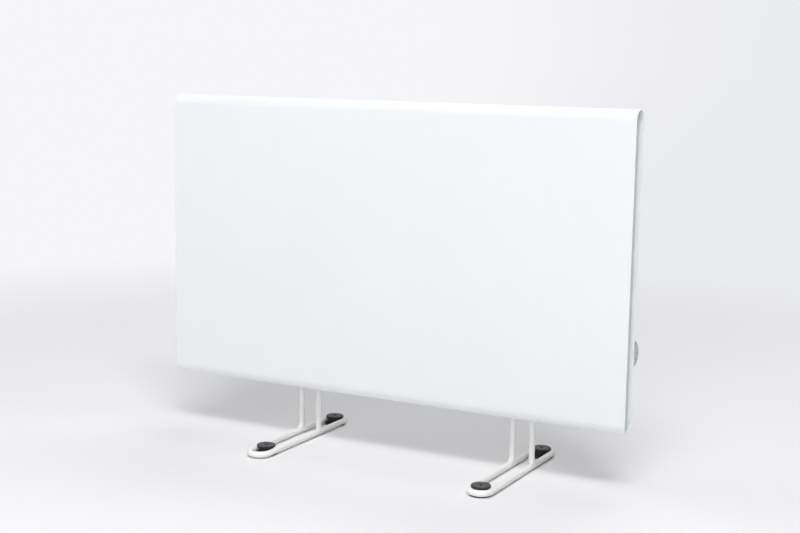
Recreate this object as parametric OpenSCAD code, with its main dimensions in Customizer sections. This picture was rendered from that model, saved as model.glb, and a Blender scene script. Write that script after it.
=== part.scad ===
// Slim convector heater on two rod feet.
// Millimetres, +Z up, the front faces -Y, the floor is z = 0 and the middle of the feet is x = 0, y = 0.

/* [Front panel] */
// Width of the front panel
panel_w = 680; // [600:10:900]
// Height of the front panel, over its rolled edges
panel_h = 400; // [360:5:500]
// Depth of the front panel, which is the outer diameter of its rolled edges
panel_d = 27; // [20:1:32]
// Sheet thickness of the front panel
sheet_t = 1.2; // [0.8:0.1:2]
// Clear height under the front panel
floor_gap = 76; // [60:1:110]
// How far the front face stands ahead of the middle of the feet
panel_lead = 16; // [8:0.5:24]
// Height of the lip behind the top edge
lip_top = 25; // [22:1:34]
// Height of the lip behind the bottom edge
lip_bottom = 30; // [24:1:38]
// How far the end plates are set in from the ends
end_recess = 4.8; // [2:0.2:8]
// Sheet thickness of the end plates
end_t = 1.2; // [0.8:0.1:2]
// Depth of the flange round an end plate
end_flange = 14; // [12:1:18]

/* [Back cover] */
// Sheet thickness of the back cover
cover_t = 1; // [0.8:0.1:1.6]

/* [Rear housing] */
// Depth of the housing behind the panel
housing_d = 39; // [34:1:48]
// How far the housing's ends are set in from the panel's ends
housing_inset = 20; // [19:1:40]
// Sheet thickness of the housing
housing_t = 1; // [0.8:0.1:1.6]
// Radius of the housing's corners
housing_r = 6; // [3:1:10]
// Width of the flange above and below the housing
flange_w = 12; // [10:1:16]
// Width of an air slot
slot_w = 5; // [3:0.5:7]
// Distance from one air slot to the next
slot_pitch = 16; // [12:1:24]
// Length of the upright air slots in the housing's back
back_slot_h = 34; // [20:1:50]

/* [Feet] */
// Diameter of the rod
rod_d = 8; // [6:0.5:10]
// Distance between the pad centres of one foot
pad_span = 195; // [150:1:240]
// Distance between the centre lines of a loop's two bars
loop_w = 27.5; // [26:0.5:36]
// Distance from the panel's left end to the middle of the left foot
left_foot_inset = 200; // [140:1:260]
// Distance from the control space to the middle of the right foot
right_foot_gap = 40; // [28:1:120]
// Bend radius of the upright, on its centre line
elbow_r = 12; // [10:1:24]
// Height of the blocks that hold the uprights
socket_h = 36; // [24:1:44]
// Depth of the blocks that hold the uprights
socket_d = 22; // [16:1:26]

/* [Rubber pads] */
// Height of a pad
pad_h = 13; // [12:0.5:16]
// Thickness of a pad's base, under the rod
pad_base_t = 1.5; // [1:0.5:3]
// How far a pad's base reaches past the middle of the rod
pad_base_lap = 0.75; // [0.25:0.25:4]
// Diameter of a pad's top
pad_top_d = 25; // [22:0.5:28]
// How far the left front pad has slid back along its loop
left_front_slide = 14; // [0:1:20]

/* [Heating element] */
// Diameter of the element's sheath
tube_d = 8.5; // [6:0.5:10]
// Distance between the element's two runs
tube_gap = 50; // [40:1:60]
// Height of the element's middle above the housing's floor
element_rise = 122; // [110:1:150]
// Thickness of a fin
fin_t = 0.6; // [0.4:0.1:1]
// Distance from one fin to the next
fin_pitch = 11; // [8:1:16]
// Depth of a fin, front to back
fin_d = 26; // [20:1:28]
// Height of a fin
fin_h = 88; // [76:1:100]

/* [Thermostat] */
// Diameter of the knob
knob_d = 35; // [28:1:36]
// Height of the knob, along its axis
knob_h = 12.5; // [9:0.5:15]
// Height of the knob's axis above the panel's bottom edge
knob_rise = 95; // [90:1:110]
// Diameter of the thermostat's shaft
shaft_d = 6; // [5:0.5:7]
// Diameter of the thermostat's threaded neck
neck_d = 10; // [9:0.5:11]

/* [Controls] */
// Width of the control space at the right end of the housing
control_w = 94; // [90:1:120]
// Inner diameter of the cable gland
gland_bore_d = 8; // [6:0.5:10]
// Diameter of the wires
wire_d = 2.4; // [1.6:0.2:3]

/* [Fasteners] */
// Thread diameter of the sheet metal screws
screw_d = 3.5; // [3:0.5:4]
// Diameter of their heads
screw_head_d = 7; // [6:0.5:8]
// Thread diameter of the foot clamp screws
clamp_d = 5; // [4:0.5:6]

/* [Hidden] */
$fn = 64;
white = [0.93, 0.94, 0.94];
shade_white = [0.86, 0.87, 0.87];
galvanised = [0.70, 0.72, 0.73];
bright = [0.82, 0.83, 0.84];
black = [0.10, 0.10, 0.11];
knob_grey = [0.80, 0.81, 0.81];
ceramic = [0.92, 0.90, 0.84];
brass = [0.80, 0.66, 0.36];
brown = [0.36, 0.20, 0.12];
blue = [0.16, 0.32, 0.70];
green = [0.30, 0.60, 0.22];

// Clearances
slip = 0.2;          // flat pieces that slide into each other
shaft_slip = 0.05;   // round a shaft, on the radius
hole_slip = 0.15;    // round a screw, on the radius
lip_clear = 2;       // between the lips and the housing's flanges
knob_clear = 1;      // between the knob and the housing
curl_clear = 1;      // between the cover and the curve of a rolled edge
over = 1;            // how far a cut runs past a face

// Heights and depths of the panel and the housing
panel_z0 = floor_gap;
panel_z1 = floor_gap + panel_h;
front_y = -panel_lead;
back_y = front_y + panel_d;
panel_y = (front_y + back_y) / 2;
cover_y1 = back_y - sheet_t;
cover_y0 = cover_y1 - cover_t;
end_x = panel_w / 2;
cover_x = end_x - slip;
house_x = end_x - housing_inset;
house_z0 = panel_z0 + lip_bottom + lip_clear + flange_w;
house_z1 = panel_z1 - lip_top - lip_clear - flange_w;
house_y1 = back_y + housing_d;
wall_y = house_y1 - housing_t;
duct_y = (cover_y1 + wall_y) / 2;

// The cover reaches behind both lips, up to where the rolled edges start to curve
cover_z0 = panel_z0 + panel_d / 2 + curl_clear;
cover_z1 = panel_z1 - panel_d / 2 - curl_clear;

// The partition splits the housing into the hot duct and the control space
part_t = 1;
part_x = house_x - control_w;

// Holes along the edges, shared by the sheets and their screws
hole_r = screw_d / 2 + hole_slip;
screw_len = 6;
corner_x = end_x - end_recess - end_t - end_flange / 2;
corner_zs = [(cover_z0 + panel_z0 + lip_bottom) / 2, (panel_z1 - lip_top + cover_z1) / 2];
plate_z = (panel_z0 + panel_z1) / 2;
flange_xs = [for (i = [-3 : 2 : 3]) i * house_x / 4];
flange_zs = [house_z0 - flange_w / 2, house_z1 + flange_w / 2];

// Feet
rod_r = rod_d / 2;
rod_z = pad_base_t + rod_r;
left_foot_x = -end_x + left_foot_inset;
right_foot_x = part_x - right_foot_gap;
post_y = duct_y;
socket_wall = 4;
weld_sink = 0.5;     // how far a post's flat end is pressed into the bar below it
socket_z0 = house_z0 + housing_t;
post_z1 = socket_z0 + socket_h - socket_wall;
socket_w = loop_w + rod_d + 2 * socket_wall;
clamp_z = socket_z0 + socket_h / 2;

// Air slots
slot_inset = 22;
slot_end = 14;
slot_edge = 6;
slot_drop = 14;

// Element
elem_z = house_z0 + element_rise;
run_zs = [elem_z - tube_gap / 2, elem_z + tube_gap / 2];
bush_wall = 3;
bush_lip = 2;
bush_r = tube_d / 2 + bush_wall;
bush_collar_r = bush_r + bush_lip;
bend_lead = 5;       // from the holder to the middle of the bend
bend_clear = 11;     // from the bend to the housing's left end
bend_r = tube_gap / 2;
holder_x = -house_x + housing_t + bend_clear + tube_d / 2 + bend_r + bend_lead;
bend_x = holder_x - bend_lead;
fin_inset = 12;      // from the holder and the partition to the first and last fin
fin_x0 = holder_x + fin_inset;
fin_x1 = part_x - fin_inset;
fin_count = floor((fin_x1 - fin_x0) / fin_pitch) + 1;
pin_out = 13;        // how far the sheath stands out of the partition
tube_x1 = part_x + part_t + pin_out;

// Brackets on the housing's back wall: x of the screws and their heights
flap_w = 12;
flap_hole = (flap_w + part_t) / 2;
holder_hole = 8;
part_hole = 24;
holder_z0 = elem_z - fin_h / 2;
holder_z1 = elem_z + fin_h / 2;
holder_zs = [holder_z0 + holder_hole, holder_z1 - holder_hole];
part_zs = [house_z0 + part_hole, elem_z, house_z1 - part_hole];
bracket_holes = concat(
    [for (z = holder_zs) [holder_x + flap_hole, z]],
    [for (z = part_zs) [part_x + flap_hole, z]]
);

// Reflector
reflector_t = 0.8;
reflector_edge = 8;  // how far it reaches past the fins, above and below
flap_clear = 2;      // between the reflector and the brackets
reflector_gap = 3;   // between the reflector and the back wall
reflector_y = wall_y - reflector_gap;
reflector_z0 = elem_z - fin_h / 2 - reflector_edge;
reflector_z1 = elem_z + fin_h / 2 + reflector_edge;
reflector_x0 = holder_x + flap_w + flap_clear;
reflector_x1 = part_x - flap_w - flap_clear;

// Thermostat
knob_y = duct_y;
knob_z = panel_z0 + knob_rise;
knob_x0 = house_x + knob_clear;
knob_x1 = knob_x0 + knob_h;
stat_x1 = house_x - housing_t;
stat_len = 26;
stat_x0 = stat_x1 - stat_len;
stat_w = 32;
stat_h = 42;
stat_z0 = knob_z - stat_h / 2;
stat_z1 = knob_z + stat_h / 2;
neck_out = 3.4;      // how far the neck stands out of the housing
neck_x1 = house_x + neck_out;
nut_land = 4;        // how much wider the nut is than the neck
nut_h = 2.6;
shaft_in = 18;       // how far the shaft reaches into the body
shaft_short = 2;     // from the shaft's tip to the knob's face
shaft_x0 = stat_x1 - shaft_in;
shaft_x1 = knob_x1 - shaft_short;
flat_z = shaft_d * 0.28;

// Sensor bulb
bulb_d = 6;
bulb_len = 44;
bulb_inset = 10;     // from the partition
bulb_lead = 6;       // ahead of the middle of the duct
bulb_rise = 22;      // above the housing's floor
bulb_x0 = part_x + bulb_inset;
bulb_y = duct_y - bulb_lead;
bulb_z = house_z0 + housing_t + bulb_rise;

// Flat terminal tabs, for push-on connectors
spade_w = 6.3;
spade_t = 0.8;
spade_len = 9;
pin_len = 8;         // a cold pin's stub, from the sheath's end
spade_lap = 1;       // how far a tab reaches into what carries it
pin_tip = tube_x1 + pin_len + spade_len - spade_lap;

// Overheat cut-out
cut_r = 8;
cut_h = 9;
cut_t = 1;           // thickness of its ears
cut_ear = 12;        // from its middle to the middle of an ear
cut_spade = 4;       // from its middle to a tab
cut_x0 = part_x + part_t;
cut_rise = 34;       // above the element's upper run
cut_tip = cut_x0 + cut_h + spade_len - spade_lap;
cut_z = elem_z + bend_r + cut_rise;

// Terminal block
block_w = 34;
block_d = 15;
block_h = 18;
block_pole = block_w / 3;
block_inset = 44;    // from the partition
block_rise = 6;      // above the element's middle
block_x = part_x + block_inset;
block_y0 = wall_y - block_d;
block_z = elem_z + block_rise;
block_z0 = block_z - block_h / 2;

// Earth stud
stud_d = 4;
stud_collar = 1.5;
stud_head_h = 1.6;
earth_inset = 34;    // from the partition
earth_drop = 46;     // below the element's middle
earth_x = part_x + earth_inset;
earth_z = elem_z - earth_drop;

// Cable gland
gland_wall = 3;
gland_r = gland_bore_d / 2 + gland_wall;
gland_collar = 5;
gland_barrel = 9;
gland_inset = 70;    // from the partition
gland_x = part_x + gland_inset;
gland_z0 = house_z0 - gland_collar;
gland_z1 = house_z0 + housing_t + gland_barrel;

// The wires' lane in front of the back wall
wire_lane = 5;
wire_lane_y = wall_y - wire_lane;

// A slot shape with round ends, long along the second axis, centred
module slot2d(w, h) {
    square([w, h - w], center = true);
    for (s = [-1, 1]) translate([0, s * (h - w) / 2]) circle(d = w);
}

// A rectangle with round corners, centred
module round_rect(w, h, r) {
    square([w, h - 2 * r], center = true);
    square([w - 2 * r, h], center = true);
    for (sx = [-1, 1], sz = [-1, 1]) translate([sx * (w / 2 - r), sz * (h / 2 - r)]) circle(r);
}

// The section of the panel: straight sides and a half round at each end
module section2d(d, y, z0, z1) {
    translate([y - d / 2, z0 + d / 2]) square([d, z1 - z0 - d]);
    for (z = [z0 + d / 2, z1 - d / 2]) translate([y, z]) circle(d = d);
}

// Extrude a drawing made in depth and height along X
module along_x(x0, len) {
    translate([x0, 0, 0]) rotate([90, 0, 90]) linear_extrude(len) children();
}

// Extrude a drawing made in width and height along Y
module along_y(y0, len) {
    translate([0, y0 + len, 0]) rotate([90, 0, 0]) linear_extrude(len) children();
}

// Round bars along X and along Y
module bar_x(y, z, r, x0, x1) {
    translate([x0, y, z]) rotate([0, 90, 0]) cylinder(r = r, h = x1 - x0);
}

module bar_y(x, z, r, y0, y1) {
    translate([x, y0, z]) rotate([-90, 0, 0]) cylinder(r = r, h = y1 - y0);
}

// Round holes along X and along Y, through a sheet or block that lies between two faces
module hole_x(y, z, r, x0, x1) {
    bar_x(y, z, r, x0 - over, x1 + over);
}

module hole_y(x, z, r, y0, y1) {
    bar_y(x, z, r, y0 - over, y1 + over);
}

// A pan head screw with a cross recess; its head rises from z = 0 and its shank goes down
module screw(d, head_d, len) {
    head_h = head_d * 0.34;
    rim_h = head_h * 0.5;
    recess_w = head_d * 0.14;
    translate([0, 0, -len]) cylinder(d = d, h = len, $fn = 32);
    difference() {
        union() {
            cylinder(d = head_d, h = rim_h, $fn = 32);
            translate([0, 0, rim_h]) cylinder(d1 = head_d, d2 = head_d * 0.6, h = head_h - rim_h, $fn = 32);
        }
        for (a = [0, 90]) rotate([0, 0, a]) translate([-head_d * 0.26, -recess_w / 2, rim_h * 0.6])
            cube([head_d * 0.52, recess_w, head_h]);
    }
}

// The same screw driven in from behind, its head on the face at y
module screw_from_back(x, y, z, d, head_d, len) {
    translate([x, y, z]) rotate([-90, 0, 0]) screw(d, head_d, len);
}

module hex_nut(af, bore_r, h) {
    difference() {
        cylinder(d = af / cos(30), h = h, $fn = 6);
        translate([0, 0, -over]) cylinder(r = bore_r, h = h + 2 * over, $fn = 48);
    }
}

// A wire through the given points, with a slightly larger ball as each round corner
module wire(points, d) {
    corner_d = d * 1.12;
    for (i = [0 : len(points) - 2]) {
        v = points[i + 1] - points[i];
        translate(points[i]) rotate([0, acos(v.z / norm(v)), atan2(v.y, v.x)])
            cylinder(d = d, h = norm(v), $fn = 16);
    }
    for (i = [1 : len(points) - 2]) translate(points[i]) sphere(d = corner_d, $fn = 16);
}

// Front sheet, rolled back along its top and bottom edges
module front_shell() {
    color(white) difference() {
        along_x(-end_x, panel_w) difference() {
            section2d(panel_d, panel_y, panel_z0, panel_z1);
            section2d(panel_d - 2 * sheet_t, panel_y, panel_z0 + sheet_t, panel_z1 - sheet_t);
            translate([cover_y1 - over, panel_z0 + lip_bottom])
                square([sheet_t + 2 * over, panel_h - lip_top - lip_bottom]);
        }
        for (sx = [-1, 1], z = corner_zs) hole_y(sx * corner_x, z, hole_r, cover_y1, back_y);
    }
}

// Flat sheet that closes the back between the lips and is the front wall of the hot duct
module back_cover() {
    color(white) difference() {
        translate([-cover_x, cover_y0, cover_z0]) cube([2 * cover_x, cover_t, cover_z1 - cover_z0]);
        for (sx = [-1, 1], z = concat(corner_zs, [plate_z]))
            hole_y(sx * corner_x, z, hole_r, cover_y0, cover_y1);
        for (x = flange_xs, z = flange_zs) hole_y(x, z, hole_r, cover_y0, cover_y1);
    }
}

// Plate that closes one end of the panel, with a flange round its rim
module end_plate(side) {
    y0 = front_y + sheet_t + slip;
    d = cover_y0 - y0;
    y = y0 + d / 2;
    z0 = panel_z0 + sheet_t + slip;
    z1 = panel_z1 - sheet_t - slip;
    face_x = end_x - end_recess;
    color(shade_white) difference() {
        along_x(side > 0 ? face_x - end_flange : -face_x, end_flange) section2d(d, y, z0, z1);
        along_x(side > 0 ? face_x - end_flange - over : -face_x + end_t, end_flange + over - end_t)
            section2d(d - 2 * end_t, y, z0 + end_t, z1 - end_t);
        for (z = concat(corner_zs, [plate_z])) hole_y(side * corner_x, z, hole_r, cover_y0 - end_t, cover_y0);
    }
}

module end_plate_left() end_plate(-1);
module end_plate_right() end_plate(1);

// Positions of the air slots along the duct, clear of the two foot sockets
function slot_xs(clear_feet) = [
    for (x = [-house_x + slot_inset : slot_pitch : part_x - slot_end])
        if (!clear_feet || min(abs(x - left_foot_x), abs(x - right_foot_x)) > socket_w / 2 + slot_w) x
];

// Folded pan behind the cover; air enters through its floor and leaves through its top and upper back
module rear_housing() {
    house_w = 2 * house_x;
    house_h = house_z1 - house_z0;
    mid_z = (house_z0 + house_z1) / 2;
    slot_len = wall_y - cover_y1 - 2 * slot_edge;
    slot_z = house_z1 - slot_drop - back_slot_h / 2;
    color(white) difference() {
        union() {
            translate([0, 0, mid_z]) along_y(cover_y1, house_y1 - cover_y1)
                round_rect(house_w, house_h, housing_r);
            for (z = [house_z0 - flange_w, house_z1 - housing_r])
                translate([-house_x + housing_r, cover_y1, z])
                    cube([house_w - 2 * housing_r, housing_t, flange_w + housing_r]);
        }
        translate([0, 0, mid_z]) along_y(cover_y1 - over, wall_y - cover_y1 + over)
            round_rect(house_w - 2 * housing_t, house_h - 2 * housing_t, housing_r - housing_t);
        for (x = flange_xs, z = flange_zs) hole_y(x, z, hole_r, cover_y1, cover_y1 + housing_t);
        for (h = bracket_holes) hole_y(h.x, h.y, hole_r, wall_y, house_y1);
        for (x = [left_foot_x, right_foot_x]) {
            hole_y(x, clamp_z, clamp_d / 2 + hole_slip, wall_y, house_y1);
            for (s = [-1, 1]) floor_hole(x + s * loop_w / 2, post_y, rod_r + hole_slip);
        }
        for (x = slot_xs(true)) translate([x, duct_y, house_z0 - over]) linear_extrude(housing_t + 2 * over)
            slot2d(slot_w, slot_len);
        for (x = slot_xs(false)) {
            translate([x, duct_y, house_z1 - housing_t - over]) linear_extrude(housing_t + 2 * over)
                slot2d(slot_w, slot_len);
            translate([x, 0, slot_z]) along_y(wall_y - over, housing_t + 2 * over)
                slot2d(slot_w, back_slot_h);
        }
        hole_x(knob_y, knob_z, neck_d / 2 + hole_slip, stat_x1, house_x);
        hole_y(block_x, block_z, hole_r, wall_y, house_y1);
        hole_y(earth_x, earth_z, stud_d / 2 + hole_slip, wall_y, house_y1);
        floor_hole(gland_x, duct_y, gland_r + hole_slip);
    }
}

// Hole through the housing's floor
module floor_hole(x, y, r) {
    translate([x, y, house_z0 - over]) cylinder(r = r, h = housing_t + 2 * over);
}

// Closed loop of rod: the left bar turns up into the left upright, and the rod's end butts on the bend
module foot_loop(x) {
    bar_x = loop_w / 2;
    elbow_y = post_y - elbow_r;
    butt_lap = 0.5;
    butt_y = post_y - butt_lap;
    color(white) translate([x, 0, rod_z]) {
        for (s = [-1, 1]) translate([0, s * pad_span / 2, 0]) rotate([0, 0, s > 0 ? 0 : 180])
            rotate_extrude(angle = 180) translate([bar_x, 0]) circle(rod_r);
        translate([bar_x, -pad_span / 2, 0]) rotate([-90, 0, 0]) cylinder(r = rod_r, h = pad_span);
        translate([-bar_x, -pad_span / 2, 0]) rotate([-90, 0, 0])
            cylinder(r = rod_r, h = pad_span / 2 + elbow_y);
        translate([-bar_x, elbow_y, elbow_r]) rotate([0, -90, 0]) rotate([0, 0, 180])
            rotate_extrude(angle = -90) translate([elbow_r, 0]) circle(rod_r);
        translate([-bar_x, post_y, elbow_r]) cylinder(r = rod_r, h = post_z1 - rod_z - elbow_r);
        translate([-bar_x, butt_y, 0]) rotate([-90, 0, 0]) cylinder(r = rod_r, h = pad_span / 2 - butt_y);
    }
}

module left_foot_loop() foot_loop(left_foot_x);
module right_foot_loop() foot_loop(right_foot_x);

// Straight upright with a flat end, resistance welded onto the crown of the loop's right bar
module foot_post(x) {
    post_x = x + loop_w / 2;
    post_z0 = rod_z + rod_r - weld_sink;
    color(white) difference() {
        translate([post_x, post_y, post_z0]) cylinder(r = rod_r, h = post_z1 - post_z0);
        bar_y(post_x, rod_z, rod_r + shaft_slip, post_y - rod_d, post_y + rod_d);
    }
}

module left_foot_post() foot_post(left_foot_x);
module right_foot_post() foot_post(right_foot_x);

// Rubber spool that clips between the bars of a loop; the rod lies in its groove
module pad(x, y) {
    top_r = pad_top_d / 2;
    base_r = loop_w / 2 + pad_base_lap;
    neck_r = loop_w / 2 - rod_r - shaft_slip;
    groove_z0 = rod_z - rod_r - shaft_slip;
    groove_z1 = rod_z + rod_r + shaft_slip;
    edge = 1;
    base_edge = 0.4;
    hole_d = 4;
    hole_depth = 5;
    dimple_d = 8;
    dimple_depth = 1.2;
    color(black) translate([x, y, 0]) difference() {
        rotate_extrude() polygon([
            [0, 0], [base_r - base_edge, 0], [base_r, base_edge], [base_r, groove_z0], [neck_r, groove_z0],
            [neck_r, groove_z1], [top_r, groove_z1], [top_r, pad_h - edge], [top_r - edge, pad_h], [0, pad_h]
        ]);
        translate([0, 0, pad_h - dimple_depth]) cylinder(d1 = hole_d, d2 = dimple_d, h = dimple_depth);
        translate([0, 0, pad_h - hole_depth]) cylinder(d = hole_d, h = hole_depth + over);
    }
}

module left_front_pad() pad(left_foot_x, -pad_span / 2 + left_front_slide);
module left_rear_pad() pad(left_foot_x, pad_span / 2);
module right_front_pad() pad(right_foot_x, -pad_span / 2);
module right_rear_pad() pad(right_foot_x, pad_span / 2);

// Block inside the housing that takes both uprights of a foot, with a tapped hole for the clamp screw
module foot_socket(x) {
    clamp_end = 4;
    y1 = wall_y;
    y0 = post_y - socket_d / 2;
    color(black) difference() {
        translate([x - socket_w / 2, y0, socket_z0]) cube([socket_w, y1 - y0, socket_h]);
        for (s = [-1, 1]) translate([x + s * loop_w / 2, post_y, socket_z0 - over])
            cylinder(r = rod_r + shaft_slip, h = post_z1 - socket_z0 + over + slip);
        bar_y(x, clamp_z, clamp_d / 2 + shaft_slip, post_y - clamp_end, y1 + over);
    }
}

module left_foot_socket() foot_socket(left_foot_x);
module right_foot_socket() foot_socket(right_foot_x);

module foot_clamp_screws() {
    color(bright) for (x = [left_foot_x, right_foot_x])
        screw_from_back(x, house_y1, clamp_z, clamp_d, clamp_d * 2, house_y1 - post_y);
}

// Sheathed element: two runs joined by a bend at the left
module element_tube() {
    color(galvanised) {
        for (z = run_zs) translate([bend_x, duct_y, z]) rotate([0, 90, 0])
            cylinder(d = tube_d, h = tube_x1 - bend_x, $fn = 32);
        translate([bend_x, duct_y, elem_z]) rotate([90, 0, 0]) rotate([0, 0, 90])
            rotate_extrude(angle = 180) translate([bend_r, 0]) circle(d = tube_d, $fn = 32);
    }
}

module element_fins() {
    color(bright) for (i = [0 : fin_count - 1]) difference() {
        x = fin_x0 + i * fin_pitch;
        translate([x, duct_y - fin_d / 2, elem_z - fin_h / 2]) cube([fin_t, fin_d, fin_h]);
        for (z = run_zs) hole_x(duct_y, z, tube_d / 2 + shaft_slip, x, x + fin_t);
    }
}

// Ceramic rings in the holder and the partition, each with a collar on the duct side
module element_bushes() {
    bush_len = 8;
    collar_t = 2;
    color(ceramic) for (x = [holder_x, part_x], z = run_zs)
    translate([x, duct_y, z]) rotate([0, 90, 0]) difference() {
        union() {
            translate([0, 0, -bush_len / 2 + part_t / 2]) cylinder(r = bush_r, h = bush_len, $fn = 48);
            collar_x = x == holder_x ? part_t : -collar_t;
            translate([0, 0, collar_x]) cylinder(r = bush_collar_r, h = collar_t, $fn = 48);
        }
        translate([0, 0, -bush_len]) cylinder(r = tube_d / 2 + shaft_slip, h = 2 * bush_len, $fn = 48);
    }
}

// Cold pins of the element, each with an insulator and a flat tab
module element_terminals() {
    color(brass) for (z = run_zs) translate([tube_x1, duct_y, z]) rotate([0, 90, 0]) {
        cylinder(d = tube_d - 2, h = pin_len / 2, $fn = 32);
        cylinder(d = tube_d / 3, h = pin_len, $fn = 24);
        translate([-spade_t / 2, -spade_w / 2, pin_len - spade_lap]) cube([spade_t, spade_w, spade_len]);
    }
}

// Upright sheet bracket with a screwed flap on the housing's back wall
module bracket(x, z0, z1, y0, holes) {
    difference() {
        union() {
            translate([x, y0, z0]) cube([part_t, wall_y - y0, z1 - z0]);
            translate([x, wall_y - part_t, z0]) cube([flap_w, part_t, z1 - z0]);
        }
        for (z = run_zs) hole_x(duct_y, z, bush_r + shaft_slip, x, x + part_t);
        for (z = holes) hole_y(x + flap_hole, z, hole_r, wall_y - part_t, wall_y);
    }
}

module element_holder() {
    edge = 2;
    color(galvanised) bracket(holder_x, holder_z0, holder_z1, duct_y - bush_collar_r - edge, holder_zs);
}

module control_partition() {
    z0 = house_z0 + housing_t;
    z1 = house_z1 - housing_t;
    color(galvanised) difference() {
        bracket(part_x, z0, z1, cover_y1 + slip, part_zs);
        hole_x(duct_y, cut_z, cut_r + slip, part_x, cut_x0);
        for (s = [-1, 1]) hole_x(duct_y + s * cut_ear, cut_z, hole_r, part_x, cut_x0);
    }
}

// Bright sheet behind the element, its folded edges resting on the back wall
module reflector() {
    color(bright) translate([reflector_x0, 0, 0]) {
        len = reflector_x1 - reflector_x0;
        y0 = reflector_y - reflector_t;
        translate([0, y0, reflector_z0]) cube([len, reflector_t, reflector_z1 - reflector_z0]);
        for (z = [reflector_z0, reflector_z1 - reflector_t])
            translate([0, y0, z]) cube([len, wall_y - y0, reflector_t]);
    }
}

module thermostat_body() {
    color(black) difference() {
        union() {
            translate([stat_x0, knob_y - stat_w / 2, stat_z0]) cube([stat_len, stat_w, stat_h]);
            bar_x(knob_y, knob_z, neck_d / 2, stat_x0 + stat_len / 2, neck_x1);
        }
        bar_x(knob_y, knob_z, shaft_d / 2 + shaft_slip, shaft_x0 - slip, neck_x1 + over);
    }
}

// Shaft with a flat at its outer end
module thermostat_shaft() {
    flat_x = neck_x1 + knob_clear;
    color(bright) difference() {
        bar_x(knob_y, knob_z, shaft_d / 2, shaft_x0, shaft_x1);
        translate([flat_x, knob_y - shaft_d, knob_z + flat_z])
            cube([shaft_x1 - flat_x + over, 2 * shaft_d, shaft_d]);
    }
}

module thermostat_nut() {
    color(bright) translate([house_x, knob_y, knob_z]) rotate([0, 90, 0])
        hex_nut(neck_d + nut_land, neck_d / 2 + shaft_slip, nut_h);
}

// Hollow knob: a skirt, a fluted grip, a bevelled face with its zero notch on top, and a hub on the shaft
module thermostat_knob() {
    knob_r = knob_d / 2;
    skirt_h = 2;
    face_h = 1;
    skirt_step = 0.3;
    flute_r = 0.9;
    flutes = 36;
    bevel = 0.65;
    side_t = 3;
    roof_t = 2.5;
    hub_wall = 3;
    hub_r = shaft_d / 2 + hub_wall;
    hub_h0 = neck_x1 + knob_clear - knob_x0;
    bore_h1 = shaft_x1 + slip - knob_x0;
    notch_w = 1.4;
    notch_depth = 0.8;
    flute_land = 0.05;
    rim_r = knob_r - flute_r - flute_land;
    bore_r = shaft_d / 2 + shaft_slip;
    color(knob_grey) translate([knob_x0, knob_y, knob_z]) rotate([0, 90, 0]) difference() {
        union() {
            difference() {
                union() {
                    cylinder(r = knob_r, h = skirt_h);
                    translate([0, 0, skirt_h]) linear_extrude(knob_h - skirt_h - face_h) difference() {
                        circle(knob_r - skirt_step);
                        for (i = [0 : flutes - 1]) rotate(i * 360 / flutes) translate([knob_r, 0])
                            circle(flute_r, $fn = 16);
                    }
                    translate([0, 0, knob_h - face_h]) cylinder(r1 = rim_r, r2 = rim_r - bevel, h = face_h);
                }
                translate([0, 0, -over]) cylinder(r = knob_r - side_t, h = knob_h - roof_t + over);
            }
            translate([0, 0, hub_h0]) cylinder(r = hub_r, h = knob_h - hub_h0 - face_h);
        }
        difference() {
            translate([0, 0, hub_h0 - over]) cylinder(r = bore_r, h = bore_h1 - hub_h0 + over);
            translate([-flat_z - shaft_slip - shaft_d, -shaft_d, hub_h0 - over])
                cube([shaft_d, 2 * shaft_d, knob_h]);
        }
        translate([-rim_r * 0.87, -notch_w / 2, knob_h - notch_depth])
            cube([rim_r * 0.47, notch_w, notch_depth + over]);
    }
}

// Sensor bulb of the thermostat, near the air inlet, and the capillary that leads to it
module thermostat_bulb() {
    bulb_x1 = bulb_x0 + bulb_len;
    capillary_inset = 8;
    capillary_d = 1.6;
    capillary_x = stat_x0 + capillary_inset;
    lap = 1;
    color(brass) {
        bar_x(bulb_y, bulb_z, bulb_d / 2, bulb_x0, bulb_x1);
        wire([[bulb_x1 - lap, bulb_y, bulb_z], [capillary_x, bulb_y, bulb_z], [capillary_x, bulb_y, stat_z0]],
             capillary_d);
    }
}

// Spring clip that stands on the housing's floor and holds the bulb
module bulb_clip() {
    clip_w = 8;
    clip_t = 1;
    clip_x = bulb_x0 + clip_w;
    clip_r = bulb_d / 2 + shaft_slip;
    mouth_w = bulb_d * 2 / 3;
    foot_z = house_z0 + housing_t;
    arch_h = bulb_z - foot_z - clip_r - 2 * clip_t;
    color(galvanised) difference() {
        union() {
            translate([clip_x, bulb_y - clip_r - clip_t, foot_z])
                cube([clip_w, 2 * (clip_r + clip_t), bulb_z - foot_z]);
            bar_x(bulb_y, bulb_z, clip_r + clip_t, clip_x, clip_x + clip_w);
        }
        hole_x(bulb_y, bulb_z, clip_r, clip_x, clip_x + clip_w);
        translate([clip_x - over, bulb_y - mouth_w / 2, bulb_z]) cube([clip_w + 2 * over, mouth_w, bulb_d]);
        translate([clip_x - over, bulb_y - clip_r, foot_z + clip_t])
            cube([clip_w + 2 * over, 2 * clip_r, arch_h]);
    }
}

// Bimetal disc in the partition, with two ears and two tabs
module overheat_cutout() {
    ear_h = 8;
    ear_len = 2 * cut_ear + ear_h;
    spade_x = cut_x0 + cut_h - spade_lap;
    disc_out = 1.5;
    color(black) difference() {
        union() {
            bar_x(duct_y, cut_z, cut_r, part_x - disc_out, cut_x0 + cut_h);
            translate([cut_x0, duct_y - ear_len / 2, cut_z - ear_h / 2]) cube([cut_t, ear_len, ear_h]);
            for (s = [-1, 1]) translate([spade_x, duct_y + s * cut_spade - spade_t / 2, cut_z - spade_w / 2])
                cube([spade_len, spade_t, spade_w]);
        }
        for (s = [-1, 1]) hole_x(duct_y + s * cut_ear, cut_z, hole_r, cut_x0, cut_x0 + cut_t);
    }
}

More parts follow.
